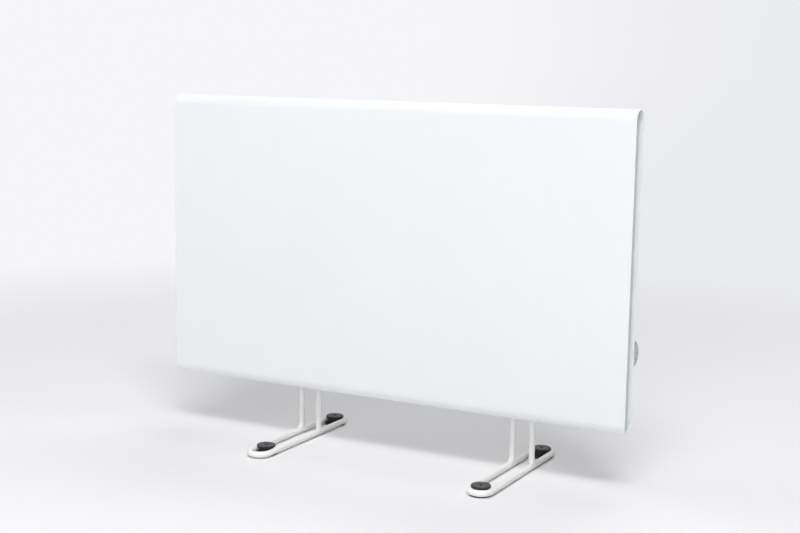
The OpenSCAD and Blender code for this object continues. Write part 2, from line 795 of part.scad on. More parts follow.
module cutout_screws() {
    color(bright) for (s = [-1, 1]) translate([cut_x0 + cut_t, duct_y + s * cut_ear, cut_z])
        rotate([0, 90, 0]) screw(screw_d, screw_head_d, screw_len);
}

// Two-pole terminal block on the back wall, with a screw pocket above and below on each pole
module terminal_block() {
    pocket_r = 2;
    pocket_depth = 7;
    pocket_y1 = block_y0 + pocket_depth;
    color(ceramic) difference() {
        translate([block_x - block_w / 2, block_y0, block_z0]) cube([block_w, block_d, block_h]);
        for (i = [-1, 1], dz = [-1, 1])
            bar_y(block_x + i * block_pole, block_z + dz * block_h / 4, pocket_r, block_y0 - over, pocket_y1);
        hole_y(block_x, block_z, hole_r, block_y0, wall_y);
        for (i = [-1, 1]) translate([block_x + i * block_pole, wire_lane_y, block_z0 - over])
            cylinder(r = wire_d / 2 + shaft_slip, h = block_h + 2 * over, $fn = 24);
    }
}

module terminal_block_screw() {
    tip_short = 3;
    len = block_d + housing_t - tip_short;
    color(bright) screw_from_back(block_x, house_y1, block_z, screw_d, screw_head_d, len);
}

// Earth stud through the back wall, with a collar inside and a flat head outside
module earth_stud() {
    stud_out = 12;
    color(brass) {
        bar_y(earth_x, earth_z, stud_d / 2, wall_y - stud_out, house_y1 + stud_head_h);
        bar_y(earth_x, earth_z, stud_d, wall_y - stud_collar, wall_y);
        bar_y(earth_x, earth_z, stud_d, house_y1, house_y1 + stud_head_h);
    }
}

module earth_nut() {
    land = 3;
    nut_t = 3.2;
    color(brass) translate([earth_x, wall_y - stud_collar - wire_d, earth_z]) rotate([90, 0, 0])
        hex_nut(stud_d + land, stud_d / 2 + shaft_slip, nut_t);
}

// Live wires: block to thermostat, thermostat to cut-out, cut-out to the element's upper pin
module live_wires() {
    stat_inset = 6;
    lane_drop = 10;
    loop_out = 20;
    stat_wire_x = stat_x1 - stat_inset;
    pole_x = block_x + block_pole;
    lane_z = block_z0 - lane_drop;
    lead_y = duct_y - cut_spade;
    rear_y = duct_y + cut_spade;
    loop_x = cut_tip + loop_out;
    color(brown) {
        wire([[pole_x, wire_lane_y, block_z], [pole_x, wire_lane_y, lane_z],
              [stat_wire_x, wire_lane_y, lane_z], [stat_wire_x, wire_lane_y, stat_z1]], wire_d);
        wire([[stat_wire_x, lead_y, stat_z1], [stat_wire_x, lead_y, cut_z],
              [cut_tip, lead_y, cut_z]], wire_d);
        wire([[cut_tip, rear_y, cut_z], [loop_x, rear_y, cut_z],
              [loop_x, duct_y, run_zs[1]], [pin_tip, duct_y, run_zs[1]]], wire_d);
    }
}

// Neutral wire: block to the element's lower pin
module neutral_wire() {
    step = 6;
    pole_x = block_x - block_pole;
    color(blue) wire([[pole_x, wire_lane_y, block_z], [pole_x, wire_lane_y, run_zs[0]],
        [pole_x + step, duct_y, run_zs[0]], [pin_tip, duct_y, run_zs[0]]], wire_d);
}

// Earth wire: from below the block to the stud, where it is clamped beside the thread
module earth_wire() {
    lane_y = wall_y - stud_collar - wire_d / 2;
    turn_x = earth_x + stud_d / 2 + wire_d / 2;
    color(green) wire([[turn_x, lane_y, block_z0], [turn_x, lane_y, earth_z - stud_d / 2]], wire_d);
}

// Bush for the supply cable in the housing's floor; its collar is outside
module cable_gland() {
    neck_lip = 1.6;
    collar_lip = 3;
    barrel_z0 = house_z0 - gland_collar / 2;
    color(black) translate([gland_x, duct_y, 0]) difference() {
        union() {
            translate([0, 0, gland_z0])
                cylinder(r1 = gland_r + neck_lip, r2 = gland_r + collar_lip, h = gland_collar);
            translate([0, 0, barrel_z0]) cylinder(r = gland_r, h = gland_z1 - barrel_z0);
        }
        translate([0, 0, gland_z0 - over]) cylinder(d = gland_bore_d, h = gland_z1 - gland_z0 + 2 * over);
    }
}

module gland_nut() {
    land = 5;
    nut_t = 5;
    color(black) translate([gland_x, duct_y, house_z0 + housing_t])
        hex_nut(2 * gland_r + land, gland_r + shaft_slip, nut_t);
}

// Screws at the corners, through lip, cover and end plate
module corner_screws() {
    color(bright) for (sx = [-1, 1], z = corner_zs)
        screw_from_back(sx * corner_x, back_y, z, screw_d, screw_head_d, screw_len);
}

// Screws half way up the ends, through cover and end plate
module plate_screws() {
    color(bright) for (sx = [-1, 1])
        screw_from_back(sx * corner_x, cover_y1, plate_z, screw_d, screw_head_d, screw_len);
}

// Screws along the housing's flanges
module housing_screws() {
    color(bright) for (x = flange_xs, z = flange_zs)
        screw_from_back(x, cover_y1 + housing_t, z, screw_d, screw_head_d, screw_len);
}

// Screws that hold the element holder and the partition to the back wall
module bracket_screws() {
    color(bright) for (h = bracket_holes)
        screw_from_back(h.x, house_y1, h.y, screw_d, screw_head_d, screw_len);
}

front_shell();
back_cover();
end_plate_left();
end_plate_right();
rear_housing();
left_foot_loop();
left_foot_post();
left_foot_socket();
left_front_pad();
left_rear_pad();
right_foot_loop();
right_foot_post();
right_foot_socket();
right_front_pad();
right_rear_pad();
foot_clamp_screws();
element_tube();
element_fins();
element_bushes();
element_terminals();
element_holder();
control_partition();
reflector();
thermostat_body();
thermostat_shaft();
thermostat_nut();
thermostat_knob();
thermostat_bulb();
bulb_clip();
overheat_cutout();
cutout_screws();
terminal_block();
terminal_block_screw();
earth_stud();
earth_nut();
live_wires();
neutral_wire();
earth_wire();
cable_gland();
gland_nut();
corner_screws();
plate_screws();
housing_screws();
bracket_screws();
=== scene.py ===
# %% [markdown]
# A slim convector heater on two rod feet. The heater is one sheet of steel, rolled back at its top and
# bottom, with a plate in each end and a shallow air housing behind it. Two feet bent from round rod carry
# it on four rubber pads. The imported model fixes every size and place. This lesson gives each part its real
# surface, and builds finer meshes where the plain solid would look too sharp or too simple.

# %% Load the fixed frame
import math

import bmesh
import bpy
from mathutils import Matrix, Vector
from mathutils.geometry import tessellate_polygon


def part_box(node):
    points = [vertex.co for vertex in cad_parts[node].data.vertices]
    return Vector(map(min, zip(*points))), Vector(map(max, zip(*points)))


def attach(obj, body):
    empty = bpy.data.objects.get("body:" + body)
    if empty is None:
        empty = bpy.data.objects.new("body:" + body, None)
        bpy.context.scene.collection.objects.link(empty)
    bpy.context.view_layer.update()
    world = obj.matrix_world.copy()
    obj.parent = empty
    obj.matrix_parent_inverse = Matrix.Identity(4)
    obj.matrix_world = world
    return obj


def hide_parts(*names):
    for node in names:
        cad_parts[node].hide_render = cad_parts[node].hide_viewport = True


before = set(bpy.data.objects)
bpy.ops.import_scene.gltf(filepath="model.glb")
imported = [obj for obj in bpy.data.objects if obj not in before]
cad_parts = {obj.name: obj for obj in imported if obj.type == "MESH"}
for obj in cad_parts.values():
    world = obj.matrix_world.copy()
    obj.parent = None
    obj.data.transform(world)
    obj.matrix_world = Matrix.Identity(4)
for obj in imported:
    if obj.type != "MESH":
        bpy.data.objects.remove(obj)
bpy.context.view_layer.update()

MM = 0.001

# %% [markdown]
# The camera stands to the right of the heater, a little above its top edge, with a long lens. Its place was
# worked out from the straight edges of the panel and the two feet. Matching the lens and the tilt first
# means that every later comparison with the photograph can be made point by point.

# %% Place the camera
PHOTO_SIZE = (800, 533)
FOCAL_LENGTH_PX = 1415.1
OPTICAL_AXIS_PX = (399.25, 265.0)
CAMERA_AT = (0.88787, -1.63598, 0.53951)
CAMERA_TURN, CAMERA_DIP, CAMERA_ROLL = 28.09, 8.567, 0.916

camera_data = bpy.data.cameras.new("camera")
camera_data.sensor_width = 36
camera_data.lens = camera_data.sensor_width * FOCAL_LENGTH_PX / PHOTO_SIZE[0]
camera_data.shift_x = (PHOTO_SIZE[0] / 2 - OPTICAL_AXIS_PX[0]) / PHOTO_SIZE[0]
camera_data.shift_y = (OPTICAL_AXIS_PX[1] - PHOTO_SIZE[1] / 2) / PHOTO_SIZE[0]
camera = bpy.data.objects.new("camera", camera_data)
bpy.context.collection.objects.link(camera)
camera.location = CAMERA_AT
turn = Matrix.Rotation(math.radians(CAMERA_TURN), 4, "Z")
dip = Matrix.Rotation(math.radians(90 - CAMERA_DIP), 4, "X")
roll = Matrix.Rotation(math.radians(CAMERA_ROLL), 4, "Z")
camera.rotation_euler = (turn @ dip @ roll).to_euler()
bpy.context.scene.camera = camera
bpy.context.scene.view_settings.view_transform = "Standard"
print("lens in mm:", round(camera_data.lens, 2))

# %% [markdown]
# Every finish below starts from the same shader, with its plain numbers on the shader's own sockets. Two
# small helpers keep the node work readable: one makes a material, the other places and wires a node.

# %% Helpers for materials
def new_material(name, roughness, metallic=0.0, level=0.5):
    material = bpy.data.materials.new(name)
    material.use_nodes = True
    shader = material.node_tree.nodes["Principled BSDF"]
    shader.inputs["Roughness"].default_value = roughness
    shader.inputs["Metallic"].default_value = metallic
    shader.inputs["Specular IOR Level"].default_value = level
    return material


def place(tree, kind, inputs=None, **settings):
    """A node with its settings; each input is a plain value or the socket that feeds it."""
    node = tree.nodes.new(kind)
    for key, value in settings.items():
        setattr(node, key, value)
    for key, value in (inputs or {}).items():
        socket = node.inputs[key]
        if isinstance(value, bpy.types.NodeSocket):
            tree.links.new(value, socket)
        else:
            socket.default_value = value
    return node


def rgba(colour):
    return (*colour, 1.0)


# %% [markdown]
# A few steps come back in nearly every effect: arithmetic, a value stretched between two limits, a mix of
# two colours, and a noise whose size is counted per metre of the object.

# %% Helpers for values and colours
def maths(tree, operation, *values):
    return place(tree, "ShaderNodeMath", dict(enumerate(values)), operation=operation).outputs[0]


def stretch_value(tree, value, start, end, low=0.0, high=1.0, **settings):
    """The value brought from between start and end to between low and high, and held there."""
    sockets = {"Value": value, "From Min": start, "From Max": end, "To Min": low, "To Max": high}
    return place(tree, "ShaderNodeMapRange", sockets, **settings).outputs["Result"]


def mix_colours(tree, share, first, second):
    """The first colour, turning into the second as the share goes from 0 to 1."""
    sockets = {"Factor": share, "A": first, "B": second}
    return place(tree, "ShaderNodeMix", sockets, data_type="RGBA").outputs[2]


def object_spot(tree):
    return place(tree, "ShaderNodeTexCoord").outputs["Object"]


def noise_at(tree, spot, per_metre, detail, roughness=0.5):
    sockets = {"Vector": spot, "Scale": per_metre, "Detail": detail, "Roughness": roughness}
    return place(tree, "ShaderNodeTexNoise", sockets).outputs["Fac"]


# %% [markdown]
# A node group is an effect that is built once and placed in many materials, each with its own values.
# This helper makes the group and its sockets. Colours come in and go out as colours, all else as numbers.

# %% Helpers for node groups
def new_group(name, inputs, outputs):
    """A group's tree, the values that come into it, and the sockets that lead out of it."""
    tree = bpy.data.node_groups.new(name, "ShaderNodeTree")
    for label, value in inputs.items():
        kind = "NodeSocketColor" if isinstance(value, tuple) else "NodeSocketFloat"
        tree.interface.new_socket(label, in_out="INPUT", socket_type=kind).default_value = value
    for label in outputs:
        kind = "NodeSocketColor" if label == "Colour" else "NodeSocketFloat"
        tree.interface.new_socket(label, in_out="OUTPUT", socket_type=kind)
    return tree, tree.nodes.new("NodeGroupInput").outputs, tree.nodes.new("NodeGroupOutput").inputs


def use_group(material, group, values):
    """The group as a node in the material, with its values set."""
    return place(material.node_tree, "ShaderNodeGroup", values, node_tree=group)


# %% [markdown]
# Grain is the fine relief of a surface: the orange peel of baked powder, the pores of rubber, the spark
# texture of a mould. Two noises of different size give a height for a bump. Stretched along one direction,
# the same grain gives the lines of rolled or drawn metal.

# %% The grain group
FINER_GRAIN = 3.7

grain, grain_in, grain_out = new_group(
    "grain", {"Per metre": 800.0, "Fine share": 0.3, "Stretch X": 1.0, "Stretch Z": 1.0}, ["Height"]
)
stretch = place(
    grain, "ShaderNodeCombineXYZ", {"X": grain_in["Stretch X"], "Y": 1.0, "Z": grain_in["Stretch Z"]}
)
spot = place(
    grain, "ShaderNodeVectorMath", {0: object_spot(grain), 1: stretch.outputs[0]}, operation="MULTIPLY"
).outputs[0]
coarse = noise_at(grain, spot, grain_in["Per metre"], detail=1.0)
fine = noise_at(grain, spot, maths(grain, "MULTIPLY", grain_in["Per metre"], FINER_GRAIN), detail=2.0)
both = place(grain, "ShaderNodeMix", {"Factor": grain_in["Fine share"], "A": coarse, "B": fine})
grain.links.new(both.outputs["Result"], grain_out["Height"])

# %% [markdown]
# No sheet or moulding is one even colour. Mottle shifts a colour slowly from place to place by a small
# share, as paint does where it lies thicker, and gives the same slow change to the gloss.

# %% The mottle group
CLOUD_RANGE = (0.3, 0.7)

mottle, mottle_in, mottle_out = new_group(
    "mottle",
    {
        "Base": (0.8, 0.8, 0.8, 1.0),
        "Deep": (0.7, 0.7, 0.7, 1.0),
        "Per metre": 6.0,
        "Gloss": 0.3,
        "Gloss shift": 0.04,
    },
    ["Colour", "Roughness"],
)
slow = noise_at(mottle, object_spot(mottle), mottle_in["Per metre"], detail=3.0, roughness=0.55)
shade = stretch_value(mottle, slow, *CLOUD_RANGE)
mottle.links.new(mix_colours(mottle, shade, mottle_in["Base"], mottle_in["Deep"]), mottle_out["Colour"])
shift = maths(mottle, "MULTIPLY_ADD", shade, mottle_in["Gloss shift"], mottle_in["Gloss"])
mottle.links.new(shift, mottle_out["Roughness"])

# %% [markdown]
# Edges catch wear and rubbing. The shape itself tells where they are: the geometry's pointiness is one half
# on flat ground and above it on an edge. The group turns it into a mask, and a noise breaks the mask up.

# %% The edge group
FLAT_POINTINESS = 0.5
WEAR_PER_METRE = 420.0

edge, edge_in, edge_out = new_group("edge", {"Width": 0.06, "Break up": 0.5}, ["Edge"])
ragged = noise_at(edge, object_spot(edge), WEAR_PER_METRE, detail=3.0)
kept = maths(edge, "SUBTRACT", 1.0, edge_in["Break up"])
broken = maths(edge, "MULTIPLY_ADD", ragged, edge_in["Break up"], kept)
pointiness = place(edge, "ShaderNodeNewGeometry").outputs["Pointiness"]
sharpest = maths(edge, "ADD", edge_in["Width"], FLAT_POINTINESS)
sharp = stretch_value(edge, pointiness, FLAT_POINTINESS, sharpest)
edge.links.new(maths(edge, "MULTIPLY", sharp, broken), edge_out["Edge"])

# %% [markdown]
# Dust settles on what faces up. The group reads how far the surface faces the ceiling and breaks it up with
# a noise, so that a lighter film lies on the rubber pads and the tops of the parts, and none on upright
# faces.

# %% The dust group
UPWARD_RANGE = (0.2, 0.95)
PATCH_RANGE = (0.3, 0.65)

dust, dust_in, dust_out = new_group("dust", {"Amount": 0.3, "Per metre": 300.0}, ["Mask"])
normal = place(dust, "ShaderNodeNewGeometry").outputs["Normal"]
facing = place(dust, "ShaderNodeSeparateXYZ", {"Vector": normal}).outputs["Z"]
patches = noise_at(dust, object_spot(dust), dust_in["Per metre"], detail=4.0, roughness=0.65)
upward = stretch_value(dust, facing, *UPWARD_RANGE)
film = maths(dust, "MULTIPLY", upward, stretch_value(dust, patches, *PATCH_RANGE))
dust.links.new(maths(dust, "MULTIPLY", film, dust_in["Amount"]), dust_out["Mask"])
print("effects:", [g.name for g in bpy.data.node_groups])

# %% [markdown]
# Paint, rubber and metal end in the same way: a colour, the mottle's gloss and the grain's relief go into
# the shader. Their worn edges are a brighter tone of their own colour.

# %% Helpers that end a finish
def wire_surface(material, colour, cloud, skin, strength, depth):
    tree = material.node_tree
    shader = tree.nodes["Principled BSDF"]
    relief = {"Height": skin.outputs["Height"], "Strength": strength, "Distance": depth}
    bump = place(tree, "ShaderNodeBump", relief)
    tree.links.new(colour, shader.inputs["Base Color"])
    tree.links.new(cloud.outputs["Roughness"], shader.inputs["Roughness"])
    tree.links.new(bump.outputs["Normal"], shader.inputs["Normal"])
    return material


def edged_colour(material, cloud, base, width, broken, times, plus=0.0):
    """The mottle's colour, with the base colour made brighter where the shape has an edge."""
    rim = use_group(material, edge, {"Width": width, "Break up": broken})
    bright = rgba(min(1.0, times * c + plus) for c in base)
    return mix_colours(material.node_tree, rim.outputs["Edge"], cloud.outputs["Colour"], bright)


# %% [markdown]
# Powder coat is paint that is baked on as a dry powder. It is smooth and half glossy, its skin has a soft
# orange peel about a millimetre across, and it runs a little thin and bright over cut edges. One function
# makes it, because the panel, the housing, the end plates and the rods differ only in tone. The end
# plates' darker grey is painted shade, for the shade in the panel's recessed ends. After the two tones
# come the roughness, the waves per metre of the peel and the strength of its relief.

# %% The powder coat
def powder_coat(name, base, deep, gloss, peel, strength):
    material = new_material(name, gloss)
    cloud = use_group(
        material, mottle, {"Base": rgba(base), "Deep": rgba(deep), "Gloss": gloss, "Gloss shift": 0.05}
    )
    skin = use_group(material, grain, {"Per metre": peel, "Fine share": 0.25})
    colour = edged_colour(material, cloud, base, width=0.08, broken=0.3, times=1.03)
    return wire_surface(material, colour, cloud, skin, strength, 0.2 * MM)


panel_paint = powder_coat("panel_paint", (0.808, 0.830, 0.835), (0.795, 0.819, 0.825), 0.34, 620.0, 0.10)
frame_paint = powder_coat("frame_paint", (0.820, 0.842, 0.848), (0.802, 0.826, 0.834), 0.40, 700.0, 0.16)
rod_paint = powder_coat("rod_paint", (0.872, 0.868, 0.852), (0.856, 0.853, 0.838), 0.32, 900.0, 0.14)
# The end plates' grey is darker than the panel's white as painted shade, for the shade in the panel's
# recessed ends.
plate_paint_painted_shade = powder_coat("plate_paint_painted_shade", (0.690, 0.708, 0.716), (0.672, 0.692, 0.702), 0.42, 700.0, 0.16)
print("paints:", panel_paint.name, frame_paint.name, rod_paint.name, plate_paint_painted_shade.name)

# %% [markdown]
# The pads are moulded black rubber: nearly matt, full of fine pores, greyer where it is rubbed along its
# edges and under a thin film of dust on top. Black rubber is never pure black, or its shape would vanish.
# The same function makes the black nylon, the knob's grey plastic, whose grey is partly painted shade, the
# ceramic and the printed marks. After the two tones come the roughness, the pores per metre, the strength
# of their relief and the dust.

# %% The mouldings
DUST_COLOUR = (0.42, 0.42, 0.41)


def moulded(name, base, deep, gloss, pores, strength, dusty, level=0.4, rub=1.6):
    material = new_material(name, gloss, level=level)
    cloud = use_group(
        material, mottle, {"Base": rgba(base), "Deep": rgba(deep), "Per metre": 60.0, "Gloss": gloss}
    )
    skin = use_group(material, grain, {"Per metre": pores, "Fine share": 0.5})
    film = use_group(material, dust, {"Amount": dusty})
    rubbed = edged_colour(material, cloud, base, width=0.1, broken=0.7, times=rub, plus=0.01)
    colour = mix_colours(material.node_tree, film.outputs["Mask"], rubbed, rgba(DUST_COLOUR))
    return wire_surface(material, colour, cloud, skin, strength, 0.3 * MM)


pad_rubber = moulded(
    "pad_rubber", (0.028, 0.028, 0.030), (0.018, 0.018, 0.020), 0.62, 1500.0, 0.25, 0.20, level=0.3
)
black_nylon = moulded("black_nylon", (0.030, 0.030, 0.031), (0.022, 0.022, 0.023), 0.45, 2200.0, 0.12, 0.06)
# The knob's grey is partly painted shade: darker than its pale plastic, to its tone in the shade at the right
# end.
knob_plastic = moulded(
    "knob_plastic", (0.60, 0.61, 0.61), (0.57, 0.58, 0.58), 0.46, 2600.0, 0.10, 0.04, rub=1.05
)
steatite = moulded("steatite", (0.78, 0.75, 0.68), (0.70, 0.67, 0.60), 0.70, 1300.0, 0.30, 0.10, rub=1.05)
mark_ink = moulded("mark_ink", (0.10, 0.10, 0.11), (0.08, 0.08, 0.09), 0.50, 3000.0, 0.05, 0.02)
mouldings = (pad_rubber, black_nylon, knob_plastic, steatite, mark_ink)
print("mouldings:", [material.name for material in mouldings])

# %% [markdown]
# Silicone leads inside the control space are soft and slightly waxy. They share the moulded finish and
# differ only in colour: brown for the live side, blue for the neutral side, green for the earth.

# %% The wire insulation
LEADS = {
    "lead_brown": ((0.16, 0.07, 0.035), (0.12, 0.05, 0.025)),
    "lead_blue": ((0.03, 0.10, 0.42), (0.02, 0.07, 0.34)),
    "lead_green": ((0.07, 0.30, 0.05), (0.05, 0.22, 0.04)),
}
leads = {name: moulded(name, base, deep, 0.42, 1800.0, 0.06, 0.03) for name, (base, deep) in LEADS.items()}
print("leads:", sorted(leads))

# %% [markdown]
# Bare metal takes its look from fine lines and from how its gloss changes. Rolled aluminium and drawn steel
# have long lines along one direction, so the grain is stretched that way, and zinc is cloudy and cooler in
# colour. The last two numbers of each metal are that stretch across the heater and upward.

# %% Bare metals
def bare_metal(name, base, deep, gloss, per_metre, stretch_x, stretch_z):
    material = new_material(name, gloss, metallic=1.0)
    tones = {"Base": rgba(base), "Deep": rgba(deep), "Per metre": 45.0, "Gloss": gloss, "Gloss shift": 0.14}
    lines = {"Per metre": per_metre, "Fine share": 0.6, "Stretch X": stretch_x, "Stretch Z": stretch_z}
    cloud = use_group(material, mottle, tones)
    skin = use_group(material, grain, lines)
    colour = edged_colour(material, cloud, base, width=0.08, broken=0.6, times=1.15)
    return wire_surface(material, colour, cloud, skin, 0.12, 0.1 * MM)


zinc = bare_metal("zinc", (0.62, 0.65, 0.68), (0.50, 0.53, 0.57), 0.26, 1600.0, 1.0, 1.0)
brass = bare_metal("brass", (0.72, 0.55, 0.27), (0.60, 0.44, 0.20), 0.28, 1500.0, 0.2, 1.0)
aluminium = bare_metal("aluminium", (0.78, 0.79, 0.80), (0.70, 0.71, 0.73), 0.30, 1400.0, 1.0, 0.04)
sheath_steel = bare_metal("sheath_steel", (0.44, 0.40, 0.36), (0.33, 0.28, 0.25), 0.36, 1600.0, 0.05, 1.0)

# %% [markdown]
# Galvanised sheet shows spangles, the frost-like crystals in its zinc layer. A cell pattern gives every
# crystal its own brightness and gloss, which is what the eye takes for galvanised.

# %% Galvanised sheet
SPANGLES_PER_METRE = 160.0
SPANGLE_DARK, SPANGLE_LIGHT = (0.46, 0.48, 0.50), (0.62, 0.64, 0.66)
SPANGLE_GLOSS = (0.28, 0.5)

galvanised = new_material("galvanised", 0.4, metallic=1.0)
tree = galvanised.node_tree
shader = tree.nodes["Principled BSDF"]
cells = place(tree, "ShaderNodeTexVoronoi", {"Vector": object_spot(tree), "Scale": SPANGLES_PER_METRE})
crystal = place(tree, "ShaderNodeSeparateColor", {"Color": cells.outputs["Color"]}).outputs
crystal_colour = mix_colours(tree, crystal["Red"], rgba(SPANGLE_DARK), rgba(SPANGLE_LIGHT))
tree.links.new(crystal_colour, shader.inputs["Base Color"])
crystal_gloss = stretch_value(tree, crystal["Green"], 0.0, 1.0, *SPANGLE_GLOSS)
tree.links.new(crystal_gloss, shader.inputs["Roughness"])
print("metals:", zinc.name, brass.name, aluminium.name, sheath_steel.name, galvanised.name)

# %% [markdown]
# Inside the housing the construction's own solids are good enough, because they are seen only through the
# air slots. They keep their meshes and get the finishes above. So do the plain sheet that closes the
# panel's back and the cable gland below the housing, which have no more form than the construction gives.

# %% Dress the plain parts
PLAIN_PARTS = [
    (panel_paint, ["back_cover"]),
    (black_nylon, ["left_foot_socket", "right_foot_socket", "thermostat_body"]),
    (black_nylon, ["overheat_cutout", "cable_gland", "gland_nut"]),
    (sheath_steel, ["element_tube"]),
    (aluminium, ["element_fins", "reflector"]),
    (steatite, ["element_bushes", "terminal_block"]),
    (brass, ["element_terminals", "thermostat_bulb", "earth_stud", "earth_nut"]),
    (galvanised, ["element_holder", "control_partition", "bulb_clip"]),
    (zinc, ["thermostat_shaft", "thermostat_nut"]),
    (leads["lead_brown"], ["live_wires"]),
    (leads["lead_blue"], ["neutral_wire"]),
    (leads["lead_green"], ["earth_wire"]),
]
for finish, nodes in PLAIN_PARTS:
    for node in nodes:
        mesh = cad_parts[node].data
        mesh.materials.clear()
        mesh.materials.append(finish)
print("dressed:", sum(len(nodes) for _, nodes in PLAIN_PARTS), "of", len(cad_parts), "nodes")

# %% [markdown]
# Every new mesh ends the same way: merged, smooth except at true corners, given its finish, and set to ride
# on the body that carries it.

# %% Helpers that finish a piece
MERGE = 0.002 * MM


def as_object(name, bm):
    mesh = bpy.data.meshes.new(name)
    bm.to_mesh(mesh)
    bm.free()
    built = bpy.data.objects.new(name, mesh)
    bpy.context.collection.objects.link(built)
    return built


def new_piece(name, bm, finish, nodes=(), body="heater", corner=32):
    bmesh.ops.remove_doubles(bm, verts=bm.verts, dist=MERGE)
    bmesh.ops.recalc_face_normals(bm, faces=bm.faces)
    piece = as_object(name, bm)
    mesh = piece.data
    mesh.polygons.foreach_set("use_smooth", [True] * len(mesh.polygons))
    mesh.set_sharp_from_angle(angle=math.radians(corner))
    mesh.materials.append(finish)
    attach(piece, body)
    if nodes:
        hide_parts(*nodes)
    print(f"{name}: {len(mesh.vertices)} points, {len(mesh.polygons)} faces")
    return piece


# %% [markdown]
# Sheet, rod, rubber and knob are all built from rings of points, each ring joined to the next by a band of
# faces. What is left open at the ends is closed by one face, or by a fan of triangles round a middle point.
# Bends are arcs of points at even steps.

# %% Helpers for rings
def full_turn(sides):
    return [2 * math.pi * i / sides for i in range(sides)]


def join_rings(bm, rings):
    """Quads between each ring of points and the next."""
    made = [[bm.verts.new(point) for point in ring] for ring in rings]
    for low_ring, high_ring in zip(made, made[1:]):
        count = len(low_ring)
        for i in range(count):
            j = (i + 1) % count
            bm.faces.new((low_ring[i], low_ring[j], high_ring[j], high_ring[i]))
    return made


def cap_ends(bm, start, end):
    bm.faces.new(list(reversed(start)))
    bm.faces.new(end)


def fan(bm, ring, point):
    tip = bm.verts.new(point)
    for i, vert in enumerate(ring):
        bm.faces.new((vert, ring[(i + 1) % len(ring)], tip))


# %% Helpers for bends
def arc(centre, radius, start, end, steps):
    """Points (a, b) on an arc with their outward directions, angles in degrees."""
    points = []
    for i in range(steps + 1):
        angle = math.radians(start + (end - start) * i / steps)
        away = Vector((math.cos(angle), math.sin(angle)))
        points.append((Vector(centre) + radius * away, away))
    return points


def arc_points(*numbers):
    return [point for point, _ in arc(*numbers)]


def quarter_bend(radius, steps=6):
    """How far each step of a quarter bend still is from its end, and how far it is drawn in."""
    angles = [math.radians(90 * i / steps) for i in range(steps + 1)]
    return [(radius * (1 - math.sin(a)), radius * (1 - math.cos(a))) for a in angles]


# %% [markdown]
# The panel is one bent sheet. Its section is a line that runs up the lower lip, round the lower roll, up
# the front, round the upper roll and down the upper lip, and the sheet lies half its thickness to each
# side. Sweeping that section along the heater, with the thickness drawn in over the last third of a
# millimetre, gives the soft cut edge that paint leaves. Narrow strips beside each roll keep the flat front
# truly flat.

# %% The panel's section
SHEET = 1.2 * MM
LIP_TOP = 25 * MM
LIP_BOTTOM = 30 * MM
ROLL_STEPS = 40
STRIP = 1.5 * MM


def panel_line(low, high):
    """The sheet's middle line in depth and height, lower lip to upper, with outward directions."""
    mid_y = (low.y + high.y) / 2
    radius = (high.y - low.y) / 2
    middle = radius - SHEET / 2
    back, front = Vector((1, 0)), Vector((-1, 0))
    lower, upper = low.z + radius, high.z - radius
    lip_low, lip_high = low.z + LIP_BOTTOM - SHEET / 2, high.z - LIP_TOP + SHEET / 2
    line = [(Vector((mid_y + middle, z)), back) for z in (lip_low, lower + STRIP)]
    line += arc((mid_y, lower), middle, 0, -180, ROLL_STEPS)
    line += [(Vector((mid_y - middle, z)), front) for z in (lower + STRIP, upper - STRIP)]
    line += arc((mid_y, upper), middle, 180, 0, ROLL_STEPS)
    line += [(Vector((mid_y + middle, z)), back) for z in (upper - STRIP, lip_high)]
    return line


# %% The sheet's edges
CUT_EDGE = 0.35 * MM
LIP_EDGE_POINTS = 11


def lip_cap(point, away, ahead, half):
    """The round free edge of a lip, from its outer to its inner side."""
    angles = [math.radians(180 * i / (LIP_EDGE_POINTS + 1)) for i in range(1, LIP_EDGE_POINTS + 1)]
    return [point + half * (math.cos(a) * away + math.sin(a) * ahead) for a in angles]


def section_ring(line, half):
    """The closed outline of the sheet, half its thickness to each side of the line."""
    outer = [point + half * away for point, away in line]
    inner = [point - half * away for point, away in reversed(line)]
    end_cap = lip_cap(line[-1][0], line[-1][1], Vector((0, -1)), half)
    start_cap = lip_cap(line[0][0], line[0][1], Vector((0, 1)), half)[::-1]
    return outer + end_cap + inner + start_cap


def edge_stations(x_end):
    """Places along the heater near a cut end, each with half the sheet's thickness there."""
    side = math.copysign(1, x_end)
    stations = [(x_end - side * STRIP, SHEET / 2)]
    for inward, thinner in quarter_bend(CUT_EDGE, 4):
        stations.append((x_end - side * inward, SHEET / 2 - thinner))
    return stations


# %% Sweep the section along the heater
low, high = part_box("front_shell")
line = panel_line(low, high)
stations = list(reversed(edge_stations(low.x))) + edge_stations(high.x)
bm = bmesh.new()
rings = [[Vector((x, p.x, p.y)) for p in section_ring(line, half)] for x, half in stations]
made = join_rings(bm, rings)
count = len(line)
caps = LIP_EDGE_POINTS
for ring in (made[0], made[-1]):
    outer, inner = ring[:count], ring[count + caps : 2 * count + caps][::-1]
    for i in range(count - 1):
        bm.faces.new((outer[i], outer[i + 1], inner[i + 1], inner[i]))
    bm.faces.new([outer[-1], *ring[count : count + caps], inner[-1]])
    bm.faces.new([inner[0], *ring[2 * count + caps :], outer[0]])
new_piece("panel_sheet", bm, panel_paint, ["front_shell"])

# %% [markdown]
# Each end of the panel is closed by a pressed plate that sits a few millimetres inside. Its rim is folded
# inward, so its outline is drawn as rings: along the flange, round the fold, and across the face. The inner
# side is the same set of rings, one sheet's thickness in.

# %% The end plates' outline and fold
PLATE_SHEET = 1.2 * MM
PLATE_FOLD = 2.0 * MM


def stadium(low, high, inset, steps=24):
    """A closed outline in depth and height: straight sides with a half round at each end."""
    radius = (high.y - low.y) / 2
    mid_y = (low.y + high.y) / 2
    reach = radius - inset
    top = arc_points((mid_y, high.z - radius), reach, 0, 180, steps)
    return top + arc_points((mid_y, low.z + radius), reach, 180, 360, steps)


